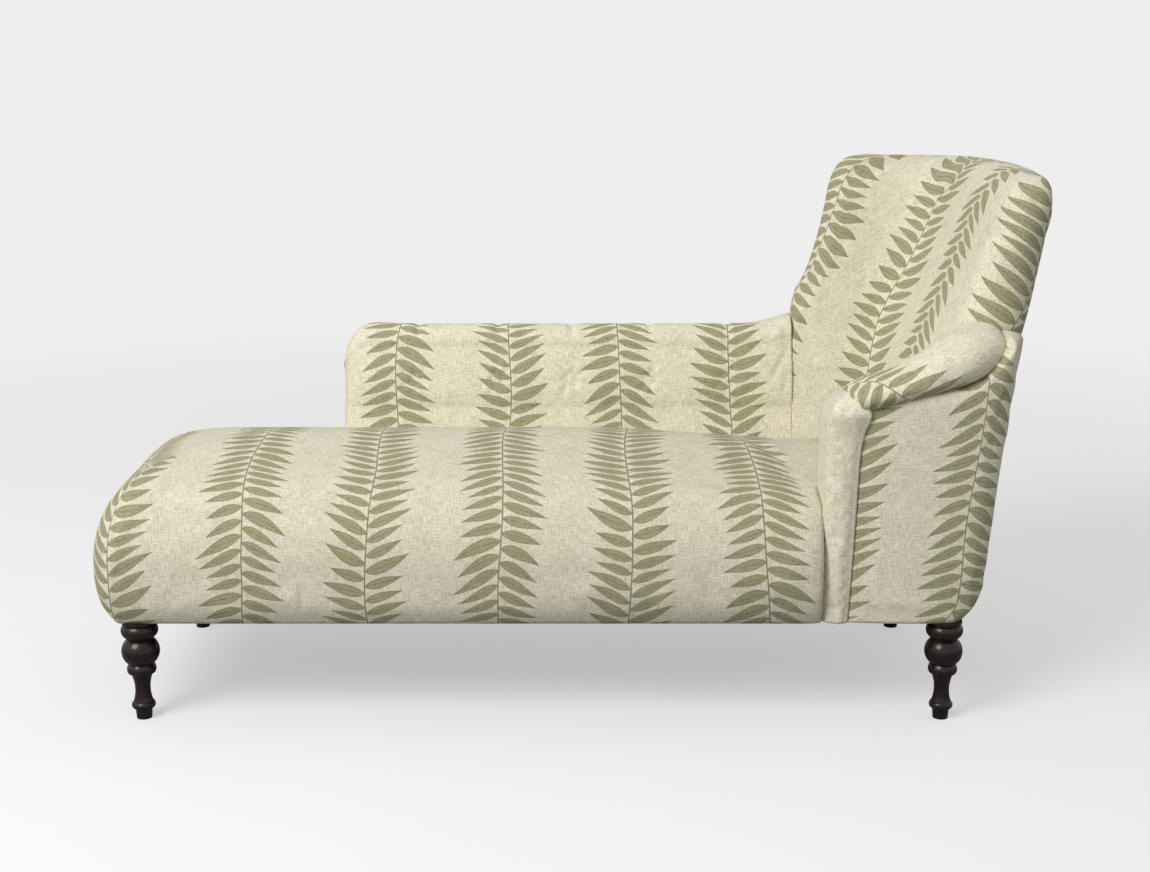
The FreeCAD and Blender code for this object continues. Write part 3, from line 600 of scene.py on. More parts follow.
@dataclass(frozen=True)
class Stuffing:
    """How a cover is blown up over its padding and settled as cloth."""

    pressure: float = 4.0
    frames: int = 20
    substeps: int = 4
    mass: float = 0.35
    cap: float = 0.004
    shrink: float = -0.010
    stiffness: float = 18.0
    bending: float = 2.5

    def settle(self, piece: bpy.types.Object, held: Array) -> None:
        """Runs the cloth, applies it and caps how far each point moves.

        Args:
            piece: The cover, a closed mesh.
            held: For each point, 1 where it is sewn or tacked down and 0 where it is free.
        """
        start = coordinates(piece)
        group = piece.vertex_groups.new(name="sewn")
        level = np.round(held, 1)
        for weight in np.unique(level[level > 0]):
            group.add(np.flatnonzero(level == weight).tolist(), float(weight), "REPLACE")
        cloth = piece.modifiers.new("cover", "CLOTH")
        setup = cloth.settings
        setup.vertex_group_mass = "sewn"
        setup.quality = self.substeps
        setup.mass = self.mass
        setup.tension_stiffness = self.stiffness
        setup.compression_stiffness = self.stiffness
        setup.shear_stiffness = self.stiffness * 0.4
        setup.bending_stiffness = self.bending
        setup.use_pressure = True
        setup.uniform_pressure_force = self.pressure
        setup.shrink_min = self.shrink
        setup.effector_weights.gravity = 0.0
        cloth.collision_settings.use_collision = False
        cloth.point_cache.frame_start = 1
        cloth.point_cache.frame_end = self.frames
        scene = bpy.context.scene
        for number in range(1, self.frames + 1):
            scene.frame_set(number)
        graph = bpy.context.evaluated_depsgraph_get()
        moved = np.empty(len(piece.data.vertices) * 3, np.float32)
        piece.evaluated_get(graph).data.vertices.foreach_get("co", moved)
        piece.modifiers.remove(cloth)
        piece.vertex_groups.clear()
        shift = moved.reshape(-1, 3) - start
        far = np.linalg.norm(shift, axis=1, keepdims=True)
        shift = shift * (self.cap * np.tanh(far / self.cap) / np.maximum(far, 1e-9))
        place_points(piece, start + shift * (1.0 - held[:, None]))
        scene.frame_set(1)


@dataclass
class Upholstery:
    """What every upholstered sub-assembly shares: how its cover joins the frame."""

    node: str = ""
    piece_name: str = ""
    slot: str = "leafy_stripe_linen"
    fill: float = 0.8

    def dress(self, piece: bpy.types.Object, finish: bpy.types.Material) -> None:
        """Gives the piece its finish and puts it in the place of its plain solid.

        Args:
            piece: The finished mesh.
            finish: Its cloth or foam.
        """
        piece.data.materials.append(finish)
        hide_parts(self.node)
        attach(piece, BODY)
        LOG.info("%s: %d faces", piece.name, len(piece.data.polygons))


@dataclass
class Filling(Upholstery):
    """The foam under a cover, which follows the cover's own settled shape."""

    slot: str = "foam"
    fill: float = 0.95
    depth: float = 0.006

    def build(self, cover: bpy.types.Object) -> bpy.types.Object:
        """Builds the lining: the cover's points moved inwards along their normals.

        Args:
            cover: The finished cover over it.

        Returns:
            The new object.
        """
        piece = bpy.data.objects.new(self.piece_name, cover.data.copy())
        piece.data.materials.clear()
        bpy.context.scene.collection.objects.link(piece)
        normals = np.empty(len(piece.data.vertices) * 3, np.float32)
        piece.data.vertices.foreach_get("normal", normals)
        place_points(piece, coordinates(piece) - normals.reshape(-1, 3) * self.depth)
        return piece


@dataclass
class Seat(Upholstery):
    """The domed seat: one cover from hem to hem over a bolster-like foot end."""

    node: str = "seat_cover"
    piece_name: str = "seat_pad"
    head_x: float = 0.571
    ridge_x: float = -0.560
    ridge_y: float = -0.070
    first_stem_x: float = -0.572
    stuffing: Stuffing = Stuffing()
    # Length along X from the first stem, and the print's place there
    stem_runs: tuple[tuple[float, float], ...] = (
        (-1.2, -1.2), (0.0, 0.0), (0.2178, 0.224), (0.4437, 0.448), (0.6661, 0.672),
        (0.9057, 0.896), (1.3, 1.28),
    )
    # Height, foot end, corner, front edge and rear edge of each level from hem to ridge
    levels: tuple[tuple[float, ...], ...] = (
        (0.181, -0.812, -0.782, -0.374, 0.222),
        (0.193, -0.825, -0.784, -0.381, 0.228),
        (0.210, -0.838, -0.785, -0.388, 0.233),
        (0.240, -0.848, -0.786, -0.393, 0.238),
        (0.290, -0.850, -0.782, -0.391, 0.240),
        (0.330, -0.845, -0.774, -0.381, 0.236),
        (0.363, -0.832, -0.758, -0.364, 0.222),
        (0.392, -0.810, -0.735, -0.341, 0.182),
        (0.4110, -0.778, -0.700, -0.300, 0.125),
        (0.4250, -0.738, -0.650, -0.232, 0.070),
        (0.4370, -0.690, -0.600, -0.168, 0.010),
        (0.4450, -0.620, -0.570, -0.110, -0.035),
        (0.4475, -0.560, -0.560, -0.070, -0.070),
    )

    def build(self) -> bpy.types.Object:
        """Builds the seat's closed cover.

        Level slices are joined up a smooth profile. Each slice runs along the front, round the
        foot end and back along the rear.

        Returns:
            The new object.
        """
        table = np.array(self.levels)
        profile = travelled(np.hypot(np.diff(table[:, 0]), np.diff(table[:, 3])))
        at = profile[-1] * np.linspace(0.0, 1.0, 74)
        z, foot, corner, front, rear = smooth_columns(profile, table, at).T
        edges = [ARM_FRONT_X, ARM_FRONT_X + 0.001, LOW_BACK_FOOT_X + 0.001,
                 LOW_BACK_FOOT_X - 0.001]
        straight = np.unique(np.concatenate([np.linspace(self.head_x, -0.480, 130), edges]))[::-1]
        reach = np.linspace(0.0, 1.0, 34)[1:]
        turn = (rear - front) * 0.17
        shoulder = foot + (corner - foot) * 0.10
        middle = (front + rear) / 2
        half = np.maximum((rear - front) / 2 - turn, 1e-9)
        slope = 2 * (shoulder - foot) / half * (half > 1e-6)
        t = np.linspace(0.0, 1.0, 23)[1:]
        bend = cubic(spot(corner, front), spot(corner + (shoulder - corner) * 0.58, front),
                     spot(shoulder + slope * turn * 0.55, front + turn * 0.45),
                     spot(shoulder, front + turn), t[:, None])
        across = np.linspace(-1.0, 1.0, 61)[1:-1]
        end_y = middle[:, None] + half[:, None] * across
        end_x = foot[:, None] + (shoulder - foot)[:, None] * across**2
        flat = len(straight) + len(reach)
        near_x = np.concatenate([np.repeat(straight[None], len(z), 0),
                                 straight[-1] + (corner[:, None] - straight[-1]) * reach,
                                 bend[..., 0]], axis=1)
        near_y = np.concatenate([np.repeat(front[:, None], flat, 1), bend[..., 1]], axis=1)
        mirror = (front + rear)[:, None]
        xs = np.concatenate([near_x, end_x, near_x[:, ::-1]], axis=1)
        ys = np.concatenate([near_y, end_y, mirror - near_y[:, ::-1]], axis=1)
        zs = np.repeat(z[:, None], xs.shape[1], 1)
        cloth = self._cloth(np.stack([xs, ys, zs], axis=-1), flat, len(t), len(across))
        zs = zs - 0.028 * ease((xs - 0.02) / 0.50) * ease((zs - 0.36) / 0.07)
        tuck = bell(xs - ARM_FRONT_X, 0.009) * 0.005 * (ys < -0.30)
        ys = np.where(xs > ARM_FRONT_X, np.maximum(ys, ARM_BACK_Y + GAP), ys + tuck)
        ys = np.where(xs > LOW_BACK_FOOT_X, np.minimum(ys, back_face_y(zs) - GAP), ys)
        return self._close(np.stack([xs, ys, zs], axis=-1), cloth)

    def _cloth(self, points: Array, flat: int, turn: int, end: int) -> Array:
        """The cloth's place on the level slices.

        On the front v is the length up from the hem and u the place along X, carried on by
        length round the corner. Over the foot end a thread of constant v turns down: it leaves
        the corner at the level where it lies and falls with the end's own profile.

        Args:
            points: The level slices.
            flat: Columns along the straight front.
            turn: Columns round a corner.
            end: Columns across the foot end.

        Returns:
            Cloth coordinates in metres by level and column.
        """
        up = run_length(points[:, :1], 0)[:, 0]
        whole = up[-1]
        level = 1.0 - up / whole
        round_corner = run_length(points[:, flat - 1:flat + turn], 1)[:, 1:]
        corner_u = points[:, flat - 1:flat, 0] - round_corner
        middle = flat + turn + end // 2
        down = run_length(points[::-1, middle:middle + 1], 0)[::-1, 0]
        inner = level[:, None] * (1.0 - np.linspace(0.0, 1.0, end // 2 + 2)[1:])
        rising = np.argsort(level)
        seam_u = np.interp(inner, level[rising], corner_u[rising, -1])
        fallen = down[:, None] - np.interp(inner, level[rising], down[rising])
        u = np.concatenate([points[:, :flat, 0], corner_u, seam_u - fallen], axis=1)
        v = np.concatenate([np.repeat(up[:, None], flat + turn, 1), whole * (1.0 - inner)], axis=1)
        u = np.concatenate([u, u[:, -2::-1]], axis=1)
        v = np.concatenate([v, 2 * whole - v[:, -2::-1]], axis=1)
        u = u - self.first_stem_x
        u = u + 0.020 * ease(v / 0.45) * ease((u - 0.70) / 0.20)
        return np.stack([np.interp(u, *np.array(self.stem_runs).T), v], axis=-1)

    def _close(self, points: Array, cloth: Array) -> bpy.types.Object:
        """Turns the hem under, closes the cover from below and makes the mesh.

        Args:
            points: The level slices.
            cloth: Their places on the cloth.

        Returns:
            The new object.
        """
        hem = points[:1]
        centre = np.stack([np.clip(hem[..., 0], self.ridge_x, self.head_x),
                           np.full_like(hem[..., 1], self.ridge_y),
                           np.full_like(hem[..., 2], HEM_Z + 0.004)], axis=-1)
        shares = np.array([1.0, 0.5, 0.10, 0.04])[:, None, None]
        bottom = hem + (centre - hem) * shares
        bottom[-1, :, 2] = HEM_Z + 0.0008
        bottom_cloth = np.repeat(cloth[:1], len(bottom), 0)
        bottom_cloth[..., 1] -= np.array([0.25, 0.12, 0.03, 0.01])[:, None]
        points = np.concatenate([bottom, points], axis=0)
        cloth = np.concatenate([bottom_cloth, cloth], axis=0)
        return grid_piece(self.piece_name, [(points, wrapped(cloth))])

    def pad(self, piece: bpy.types.Object) -> None:
        """Settles the cover: free over the top and front, held at the hem and beside the backs."""
        at = coordinates(piece)
        held = 1.0 - ease((at[:, 2] - HEM_Z - 0.006) / 0.05)
        held = np.maximum(held, ease((at[:, 0] - ARM_FRONT_X + 0.05) / 0.03))
        near_back = ease((at[:, 1] - back_face_y(at[:, 2]) + 0.05) / 0.03)
        held = np.maximum(held, near_back * (at[:, 0] > LOW_BACK_FOOT_X - 0.03))
        self.stuffing.settle(piece, held)


@dataclass
class LowBack(Upholstery):
    """The long low back with five tufts and five pulls over its top edge."""

    node: str = "low_back_cover"
    piece_name: str = "low_back_pad"
    top_z: float = 0.600
    thick: float = 0.085
    shoulder: float = 0.042
    crown: float = 0.006
    button_xs: tuple[float, ...] = (-0.320, -0.158, -0.007, 0.152, 0.307)
    button_z: float = 0.495
    tuft_depth: float = 0.007
    first_stem_x: float = -0.358
    end_depth: float = 0.045
    end_fall: float = 0.062
    stuffing: Stuffing = Stuffing()

    def build(self) -> bpy.types.Object:
        """Builds the low back from upright slices along X.

        A slice climbs the raked face, rolls over the top and comes down the rear. Towards the
        foot end its thickness share is the 2.6th root of 1 less the 2.6th power of the distance
        left, and its top falls as a quarter of an oval.

        Returns:
            The new object.
        """
        near_end = self.end_fall * np.linspace(0.0, 1.0, 22) ** 2
        onward = np.linspace(0.067, BACK_JOIN_X - LOW_BACK_FOOT_X, 230)
        xs = LOW_BACK_FOOT_X + np.concatenate([near_end, onward])
        left = np.clip(1.0 - (xs - LOW_BACK_FOOT_X) / self.end_depth, 0.0, 1.0)
        share = (1.0 - left**2.6) ** (1 / 2.6)
        fall = np.clip(1.0 - (xs - LOW_BACK_FOOT_X) / self.end_fall, 0.0, 1.0)
        top = (self.top_z - 0.066 * (1.0 - np.sqrt(1.0 - fall**2))
               + 0.020 * ease((xs - 0.335) / 0.13) ** 1.3)
        xs, share, top = np.append(xs, xs[-1]), np.append(share, 0.0), np.append(top, top[-1])
        left = np.append(left, 0.0)
        rise = np.linspace(0.0, 1.0, 96)
        roll = np.linspace(0.0, 1.0, 17)[1:]
        low, high = HEM_Z + 0.0006, (top - self.shoulder)[:, None]
        face_z = low + (high - low) * rise
        swell = self.crown * np.clip(1.0 - ((face_z - 0.500) / 0.060) ** 2, 0.0, 1.0)
        middle = self.thick / 2
        near = middle * (1.0 - share)[:, None]
        far = self.thick - near
        face_y = back_face_y(face_z) + near - swell * share[:, None]
        crown_y = (back_face_y(top) + middle - 0.004)[:, None]
        crown_y = crown_y + (back_face_y(high) + middle - crown_y) * (share < 1e-3)[:, None]
        arc = roll * math.pi / 2
        front_y = crown_y + (face_y[:, -1:] - crown_y) * np.cos(arc) ** 0.85
        front_z = high + self.shoulder * np.sin(arc) ** 0.95
        rear_y0 = back_face_y(high) + far
        back_y = crown_y + (rear_y0 - crown_y) * np.sin(arc) ** 0.95
        back_z = high + self.shoulder * np.maximum(np.cos(arc), 0.0) ** 0.85
        rear_z = face_z[:, -2::-4]
        rear_y = back_face_y(rear_z) + far
        under = np.linspace(0.0, 1.0, 8)[1:-1]
        under_y = back_face_y(low) + far + (near - far) * under
        section_y = np.concatenate([face_y, front_y, back_y, rear_y, under_y], axis=1)
        section_z = np.concatenate([face_z, front_z, back_z, rear_z,
                                    np.full_like(under_y, low)], axis=1)
        around = section_y.shape[1]
        points = np.stack([np.repeat(xs[:, None], around, 1), section_y, section_z], axis=-1)
        face_row = 50
        length = run_length(points[:, face_row:face_row + 1], 0)[:, 0]
        knee = int(np.argmin(left))
        cloth_u = np.where(left > 0, xs[knee] - (length[knee] - length), xs)
        cloth = np.stack([np.repeat((cloth_u - self.first_stem_x)[:, None], around, 1),
                          run_length(points, 1)], axis=-1)
        return grid_piece(self.piece_name, [(points, wrapped(cloth))])

    def pad(self, piece: bpy.types.Object) -> None:
        """Settles the cover between its tufts, then draws the tufts and the top pulls in."""
        at = coordinates(piece)
        held = 1.0 - ease((at[:, 2] - 0.420) / 0.03)
        held = np.maximum(held, ease((at[:, 0] - BACK_JOIN_X + 0.02) / 0.02))
        self.stuffing.settle(piece, held)

    def tuft(self, piece: bpy.types.Object) -> None:
        """Draws in the buttons' dimples and the notches on the top edge.

        A dimple is a flat-floored pit in a wide bell. Around it the cloth gathers: a cosine of
        seven times the angle, strongest about 20 mm from the button. A notch is a bell along X
        at the front of the top edge, with small folds beside it.
        """
        at = coordinates(piece)
        x, y, z = at.T
        front = y < back_face_y(z) + 0.030
        for number, button_x in enumerate(self.button_xs):
            dx, dz = x - button_x, z - self.button_z
            far = np.hypot(dx, dz)
            angle = np.arctan2(dz, dx)
            dimple = self.tuft_depth * (0.65 * bell(far**2, 0.017**2) + 0.35 * bell(far, 0.036))
            gather = 0.0012 * np.cos(angle * 7 + number * 1.3) * far / 0.020
            gather = gather * bell(far - 0.020, 0.014)
            y = np.where(front, y + dimple + gather, y)
            top = z > self.top_z - self.shoulder
            notch = 0.0040 * bell(dx, 0.0075) * bell(z - self.top_z, 0.016) * top
            folds = 0.0010 * np.cos(dx / 0.0055) * bell(dx, 0.018)
            folds = folds * bell(z - self.top_z, 0.022) * top
            z = z - notch * 0.9 - folds * 0.5
            y = y + np.where(front, notch + folds, 0.0)
        place_points(piece, np.stack([x, y, z], axis=-1))


@dataclass
class Buttons(Upholstery):
    """Five flat buttons covered in the same cloth."""

    node: str = "low_back_buttons"
    piece_name: str = "covered_buttons"
    slot: str = "button_linen"
    fill: float = 0.9
    radius: float = 0.0125
    height: float = 0.0040

    def build(self, back: LowBack) -> bpy.types.Object:
        """Builds five domes: height falls with the 4th power of the radius, rim turned under.

        Args:
            back: The low back that they are sewn to.

        Returns:
            The new object.
        """
        dome = np.linspace(0.0, 1.0, 14)
        share = np.concatenate([dome, [1.0, 0.96, 0.6, 0.0]])
        rise = np.concatenate([1.0 - 0.50 * dome**4, [0.10, -0.20, -0.25, -0.25]])
        turn = np.linspace(0.0, 2 * math.pi, 40, endpoint=False)
        across = self.radius * share[:, None] * np.cos(turn)
        up = self.radius * share[:, None] * np.sin(turn)
        out = self.height * rise[:, None]
        tilt = math.cos(math.atan(RAKE))
        lean = math.sin(math.atan(RAKE))
        base_y = float(back_face_y(back.button_z)) - back.crown + back.tuft_depth - 0.0015
        grids = []
        for button_x in back.button_xs:
            points = np.stack([button_x + across, base_y + up * lean - out * tilt,
                               back.button_z + up * tilt + out * lean], axis=-1)
            cloth = np.stack([points[..., 0] - back.first_stem_x,
                              (points[..., 2] - HEM_Z) / tilt], axis=-1)
            grids.append((points, wrapped(cloth)))
        return grid_piece(self.piece_name, grids)


@dataclass
class HeadBack(Upholstery):
    """The tall back that wraps round the rear corner of the head end."""

    node: str = "head_back_cover"
    piece_name: str = "head_back_pad"
    first_stem: float = 0.250
    lean: float = 0.16
    stuffing: Stuffing = Stuffing()
    # Length round the wall from the first stem, and the print's place there
    stem_runs: tuple[tuple[float, float], ...] = (
        (-0.70, -0.684), (-0.240, -0.224), (-0.030, 0.0), (0.231, 0.224), (0.556, 0.448),
        (2.0, 1.892),
    )
    # Height, foot side end, rear front face, rear back face, side front face, side outer face,
    # outward swell, near end, inner corner radius, outer corner radius and end rounding
    levels: tuple[tuple[float, ...], ...] = (
        (0.1815, 0.4375, 0.1375, 0.2220, 0.576, 0.676, 0.000, -0.262, 0.012, 0.030, 0.001),
        (0.205, 0.4375, 0.1444, 0.2320, 0.576, 0.695, 0.001, -0.262, 0.012, 0.036, 0.001),
        (0.240, 0.4375, 0.1544, 0.2430, 0.576, 0.709, 0.002, -0.262, 0.012, 0.042, 0.001),
        (0.330, 0.4375, 0.1803, 0.2680, 0.577, 0.721, 0.004, -0.262, 0.016, 0.055, 0.001),
        (0.436, 0.4375, 0.2107, 0.2980, 0.583, 0.735, 0.006, -0.262, 0.032, 0.070, 0.001),
        (0.540, 0.4378, 0.2405, 0.3280, 0.614, 0.751, 0.008, -0.262, 0.062, 0.090, 0.004),
        (0.600, 0.4400, 0.2577, 0.3440, 0.636, 0.764, 0.010, -0.262, 0.080, 0.105, 0.010),
        (0.655, 0.4490, 0.2680, 0.3560, 0.657, 0.777, 0.012, -0.262, 0.090, 0.115, 0.032),
        (0.715, 0.4740, 0.2780, 0.3660, 0.680, 0.790, 0.015, -0.262, 0.096, 0.125, 0.042),
        (0.780, 0.4950, 0.2900, 0.3760, 0.701, 0.801, 0.020, -0.262, 0.100, 0.132, 0.045),
        (0.838, 0.5105, 0.3000, 0.3860, 0.719, 0.811, 0.026, -0.262, 0.100, 0.138, 0.044),
        (0.880, 0.5200, 0.3090, 0.3930, 0.731, 0.818, 0.030, -0.260, 0.098, 0.140, 0.040),
        (0.911, 0.5330, 0.3200, 0.3900, 0.745, 0.817, 0.031, -0.251, 0.092, 0.138, 0.032),
        (0.930, 0.5530, 0.3340, 0.3800, 0.760, 0.811, 0.032, -0.232, 0.084, 0.126, 0.021),
        (0.9370, 0.5740, 0.3440, 0.3710, 0.769, 0.803, 0.033, -0.210, 0.078, 0.115, 0.012),
        (0.9385, 0.5860, 0.3520, 0.3630, 0.777, 0.788, 0.034, -0.200, 0.076, 0.110, 0.005),
    )

    def outline(self, z: Array) -> Array:
        """Level slices of the wall, from the foot side round the outside and back inside.

        Straight runs, quarter circles at the corners, parabolas along the side and half ovals
        at both ends. The inner half mirrors the columns of the outer one.

        Args:
            z: Heights.

        Returns:
            Plan points by level and column.
        """
        table = np.array(self.levels)
        row = smooth_columns(table[:, 0], table[:, 1:], z).T
        foot, rear_in, rear_out, side_in, side_out, swell, end_y, turn_in, turn_out, rounding = row
        rounding = np.minimum(rounding, (side_out - side_in) * 0.5)
        tip = np.minimum(rounding, (rear_out - rear_in) * 0.5)
        corner_out, corner_in = side_out + swell * 0.75, side_in + swell * 0.45
        half_y = (end_y + rear_in) / 2
        quarter = np.linspace(0.0, math.pi / 2, 14)[None]
        t_rear = np.linspace(0.0, 1.0, 26)[1:, None]
        t_turn = np.linspace(math.pi / 2, 0.0, 26)[1:]
        t_side = np.linspace(0.0, 1.0, 62)[1:, None]
        rear_mid, rear_half = (rear_in + rear_out) / 2, (rear_out - rear_in) / 2
        side_mid, side_half = (side_in + side_out) / 2, (side_out - side_in) / 2

        def wall(rear: Array, corner: Array, turn: Array, side: Array, bulge: Array) -> Array:
            """One face of the wall from its foot side to its near end."""
            parts = [line(spot(foot + tip, rear), spot(corner - turn, rear), t_rear),
                     oval(spot(corner - turn, rear - turn), turn, turn, t_turn[None]),
                     through(spot(corner, rear - turn), spot(bulge, half_y),
                             spot(side, end_y + rounding), t_side)]
            return np.concatenate(parts, axis=1)

        outer = wall(rear_out, corner_out, turn_out, side_out, side_out + swell)
        inner = wall(rear_in, corner_in, turn_in, side_in, side_in + swell * 0.4)
        foot_out = oval(spot(foot + tip, rear_mid), -tip, rear_half, quarter)
        foot_in = oval(spot(foot + tip, rear_mid), -tip, -rear_half, quarter)
        end_out = oval(spot(side_mid, end_y + rounding), side_half, -rounding, quarter)[:, 1:]
        end_in = oval(spot(side_mid, end_y + rounding), -side_half, -rounding, quarter)[:, 1:]
        first = np.concatenate([foot_out, outer, end_out], axis=1)
        second = np.concatenate([foot_in, inner, end_in], axis=1)
        return np.concatenate([first, second[:, -2:0:-1]], axis=1)

    def build(self) -> bpy.types.Object:
        """Builds the closed wall, shut above and below along its middle line.

        The cloth's u is the length round the slice from the low back, less a share of the
        height by which its stems lean and a shift near the top, read through the stem table.
        v is the length up the wall. Beside the rim's column v is lowered by half the distance
        from it, so that its leaves climb.

        Returns:
            The new object.
        """
        z = np.concatenate([np.linspace(WALL_FOOT_Z, 0.878, 96), np.linspace(0.883, 0.9385, 22)])
        plan = self.outline(z)
        columns = plan.shape[1]
        partner = -np.arange(columns) % columns
        spine = (plan[-1:] + plan[-1:, partner]) / 2
        base = (plan[:1] + plan[:1, partner]) / 2
        foot_rows = [base, plan[:1] * 0.9 + base * 0.1]
        plan = np.concatenate(foot_rows + [plan, spine], axis=0)
        z = np.concatenate([[0.184, WALL_FOOT_Z], z, [0.9388]])
        points = raised(plan, z)
        back_run = run_length(wrapped(points)[:, ::-1], 1)[:, ::-1]
        climb = run_length(points, 0)
        climb = wrapped(climb - climb[len(foot_rows)])
        u = back_run - self.first_stem - self.lean * (climb - 0.5)
        top = 0.050 * ease((climb - 0.695) / 0.07) * ease((u + 0.06) / 0.06)
        top = top * (1.0 - ease((u - 0.35) / 0.1))
        u = np.interp(u - top, *np.array(self.stem_runs).T) + COLUMN_PERIOD
        rim_u, hang = 3 * COLUMN_PERIOD, 0.5
        climb = climb - hang * np.clip(rim_u - u, 0.0, 0.11)
        return grid_piece(self.piece_name, [(points, np.stack([u, climb], axis=-1))])

    def pad(self, piece: bpy.types.Object) -> None:
        """Settles the cover, held at the hem and where it meets its neighbours."""
        at = coordinates(piece)
        held = 1.0 - ease((at[:, 2] - 0.46) / 0.06)
        held = np.maximum(held, (1.0 - ease((at[:, 0] - 0.452) / 0.03)) * (at[:, 2] < 0.66))
        self.stuffing.settle(piece, held)


@dataclass
class FrontBand(Upholstery):
    """The plain soft-edged band up the arm's front, curling over to the roll."""

    node: str = "arm_front_band"
    piece_name: str = "arm_front_band_pad"
    fill: float = 0.9
    stuffing: Stuffing = Stuffing(cap=0.0025)
    # Height, left edge, right edge and front face
    levels: tuple[tuple[float, ...], ...] = (
        (0.1815, 0.4262, 0.4705, -0.3740),
        (0.2050, 0.4256, 0.4715, -0.3755),
        (0.2400, 0.4254, 0.4730, -0.3770),
        (0.3300, 0.4252, 0.4765, -0.3785),
        (0.4360, 0.4252, 0.4800, -0.3785),
        (0.4800, 0.4255, 0.4820, -0.3788),
        (0.5060, 0.4260, 0.4852, -0.3795),
        (0.5260, 0.4268, 0.4905, -0.3810),
        (0.5400, 0.4280, 0.4958, -0.3835),
        (0.5495, 0.4300, 0.4975, -0.3850),
        (0.5570, 0.4330, 0.4950, -0.3835),
        (0.5640, 0.4375, 0.4905, -0.3780),
        (0.5705, 0.4435, 0.4855, -0.3670),
        (0.5765, 0.4505, 0.4805, -0.3490),
        (0.5800, 0.4590, 0.4745, -0.3280),
    )

    def build(self) -> bpy.types.Object:
        """Builds the band from level slices: a rounded box whose front swells a little.

        The front left edge is an oval quarter, the right edge a tight one at the seam. The
        top closes in two small steps.

        Returns:
            The new object.
        """
        table = np.array(self.levels)
        climb = travelled(np.hypot(np.diff(table[:, 0]), np.diff(table[:, 1]) * 2))
        at = np.linspace(0.0, climb[-1], 96)
        z, left, right, front = smooth_columns(climb, table, at).T
        shade = ease((z - 0.540) / 0.040)
        back = ARM_BACK_Y - GAP - 0.030 * shade
        wide, deep = right - left, back - front
        soft = np.minimum(0.018, wide * 0.45)
        tight = np.minimum(0.0065, wide * 0.2)
        quarter = np.linspace(0.0, math.pi / 2, 13)[None]
        t = np.linspace(0.0, 1.0, 12)[1:, None]
        t_side = np.linspace(0.0, 1.0, 20)[1:-1, None]
        swell = 0.0035
        front_left = oval(spot(left + soft, front + soft), -soft,
                          -np.minimum(soft, deep * 0.45), quarter)
        over = through(spot(left + soft, front), spot((left + right) / 2 + 0.006, front - swell),
                       spot(right - tight, front + 0.001), t)
        seam = oval(spot(right - tight, front + tight + 0.001), tight, -tight,
                    math.pi / 2 - quarter)[:, 1:]
        side = line(spot(right, front + tight + 0.001), spot(right, back), t_side)
        rear = line(spot(right, back), spot(left, back), np.linspace(0.0, 1.0, 10)[:, None])
        inner = line(spot(left, back), spot(left, front + soft), t_side)
        points = raised(np.concatenate([front_left, over, seam, side, rear, inner], axis=1), z)
        middle = points.mean(axis=1, keepdims=True)
        top = middle[-1:] + (points[-1:] - middle[-1:]) * np.array([0.6, 0.0])[:, None, None]
        top[..., 2] = points[-1, 0, 2] + np.array([0.0012, 0.0016])[:, None]
        bottom = middle[:1] + (points[:1] - middle[:1]) * np.array([0.0, 0.9])[:, None, None]
        points = np.concatenate([bottom, points, top], axis=0)
        around = run_length(wrapped(points), 1)
        height = np.repeat(points[:, :1, 2], around.shape[1], 1)
        return grid_piece(self.piece_name, [(points, np.stack([around, height], axis=-1))])

    def pad(self, piece: bpy.types.Object) -> None:
        """Settles the band's front, held at its hem, its back and its seam."""
        at = coordinates(piece)
        held = 1.0 - ease((at[:, 2] - HEM_Z - 0.004) / 0.03)
        held = np.maximum(held, ease((at[:, 1] + 0.345) / 0.02))
        held = np.maximum(held, ease((at[:, 0] - 0.462) / 0.012))
        self.stuffing.settle(piece, held)


# Place along the arm and height of the crease under its roll
CREASE = ((0.424, 0.5370), (0.500, 0.5548), (0.573, 0.5720), (0.620, 0.5830), (0.645, 0.5915),
          (0.660, 0.6010), (0.676, 0.6160), (0.699, 0.6400), (0.713, 0.6530), (0.728, 0.6570),
          (0.750, 0.6580), (0.780, 0.6585))


def roll_floor_z(x: Array) -> Array:
    """The crease under the arm's roll: a gentle climb, then a steep one round the roll's end."""
    table = np.array(CREASE)
    held = np.clip(x.ravel(), table[0, 0], table[-1, 0])
    return smooth_columns(table[:, 0], table[:, 1:], held).reshape(x.shape)


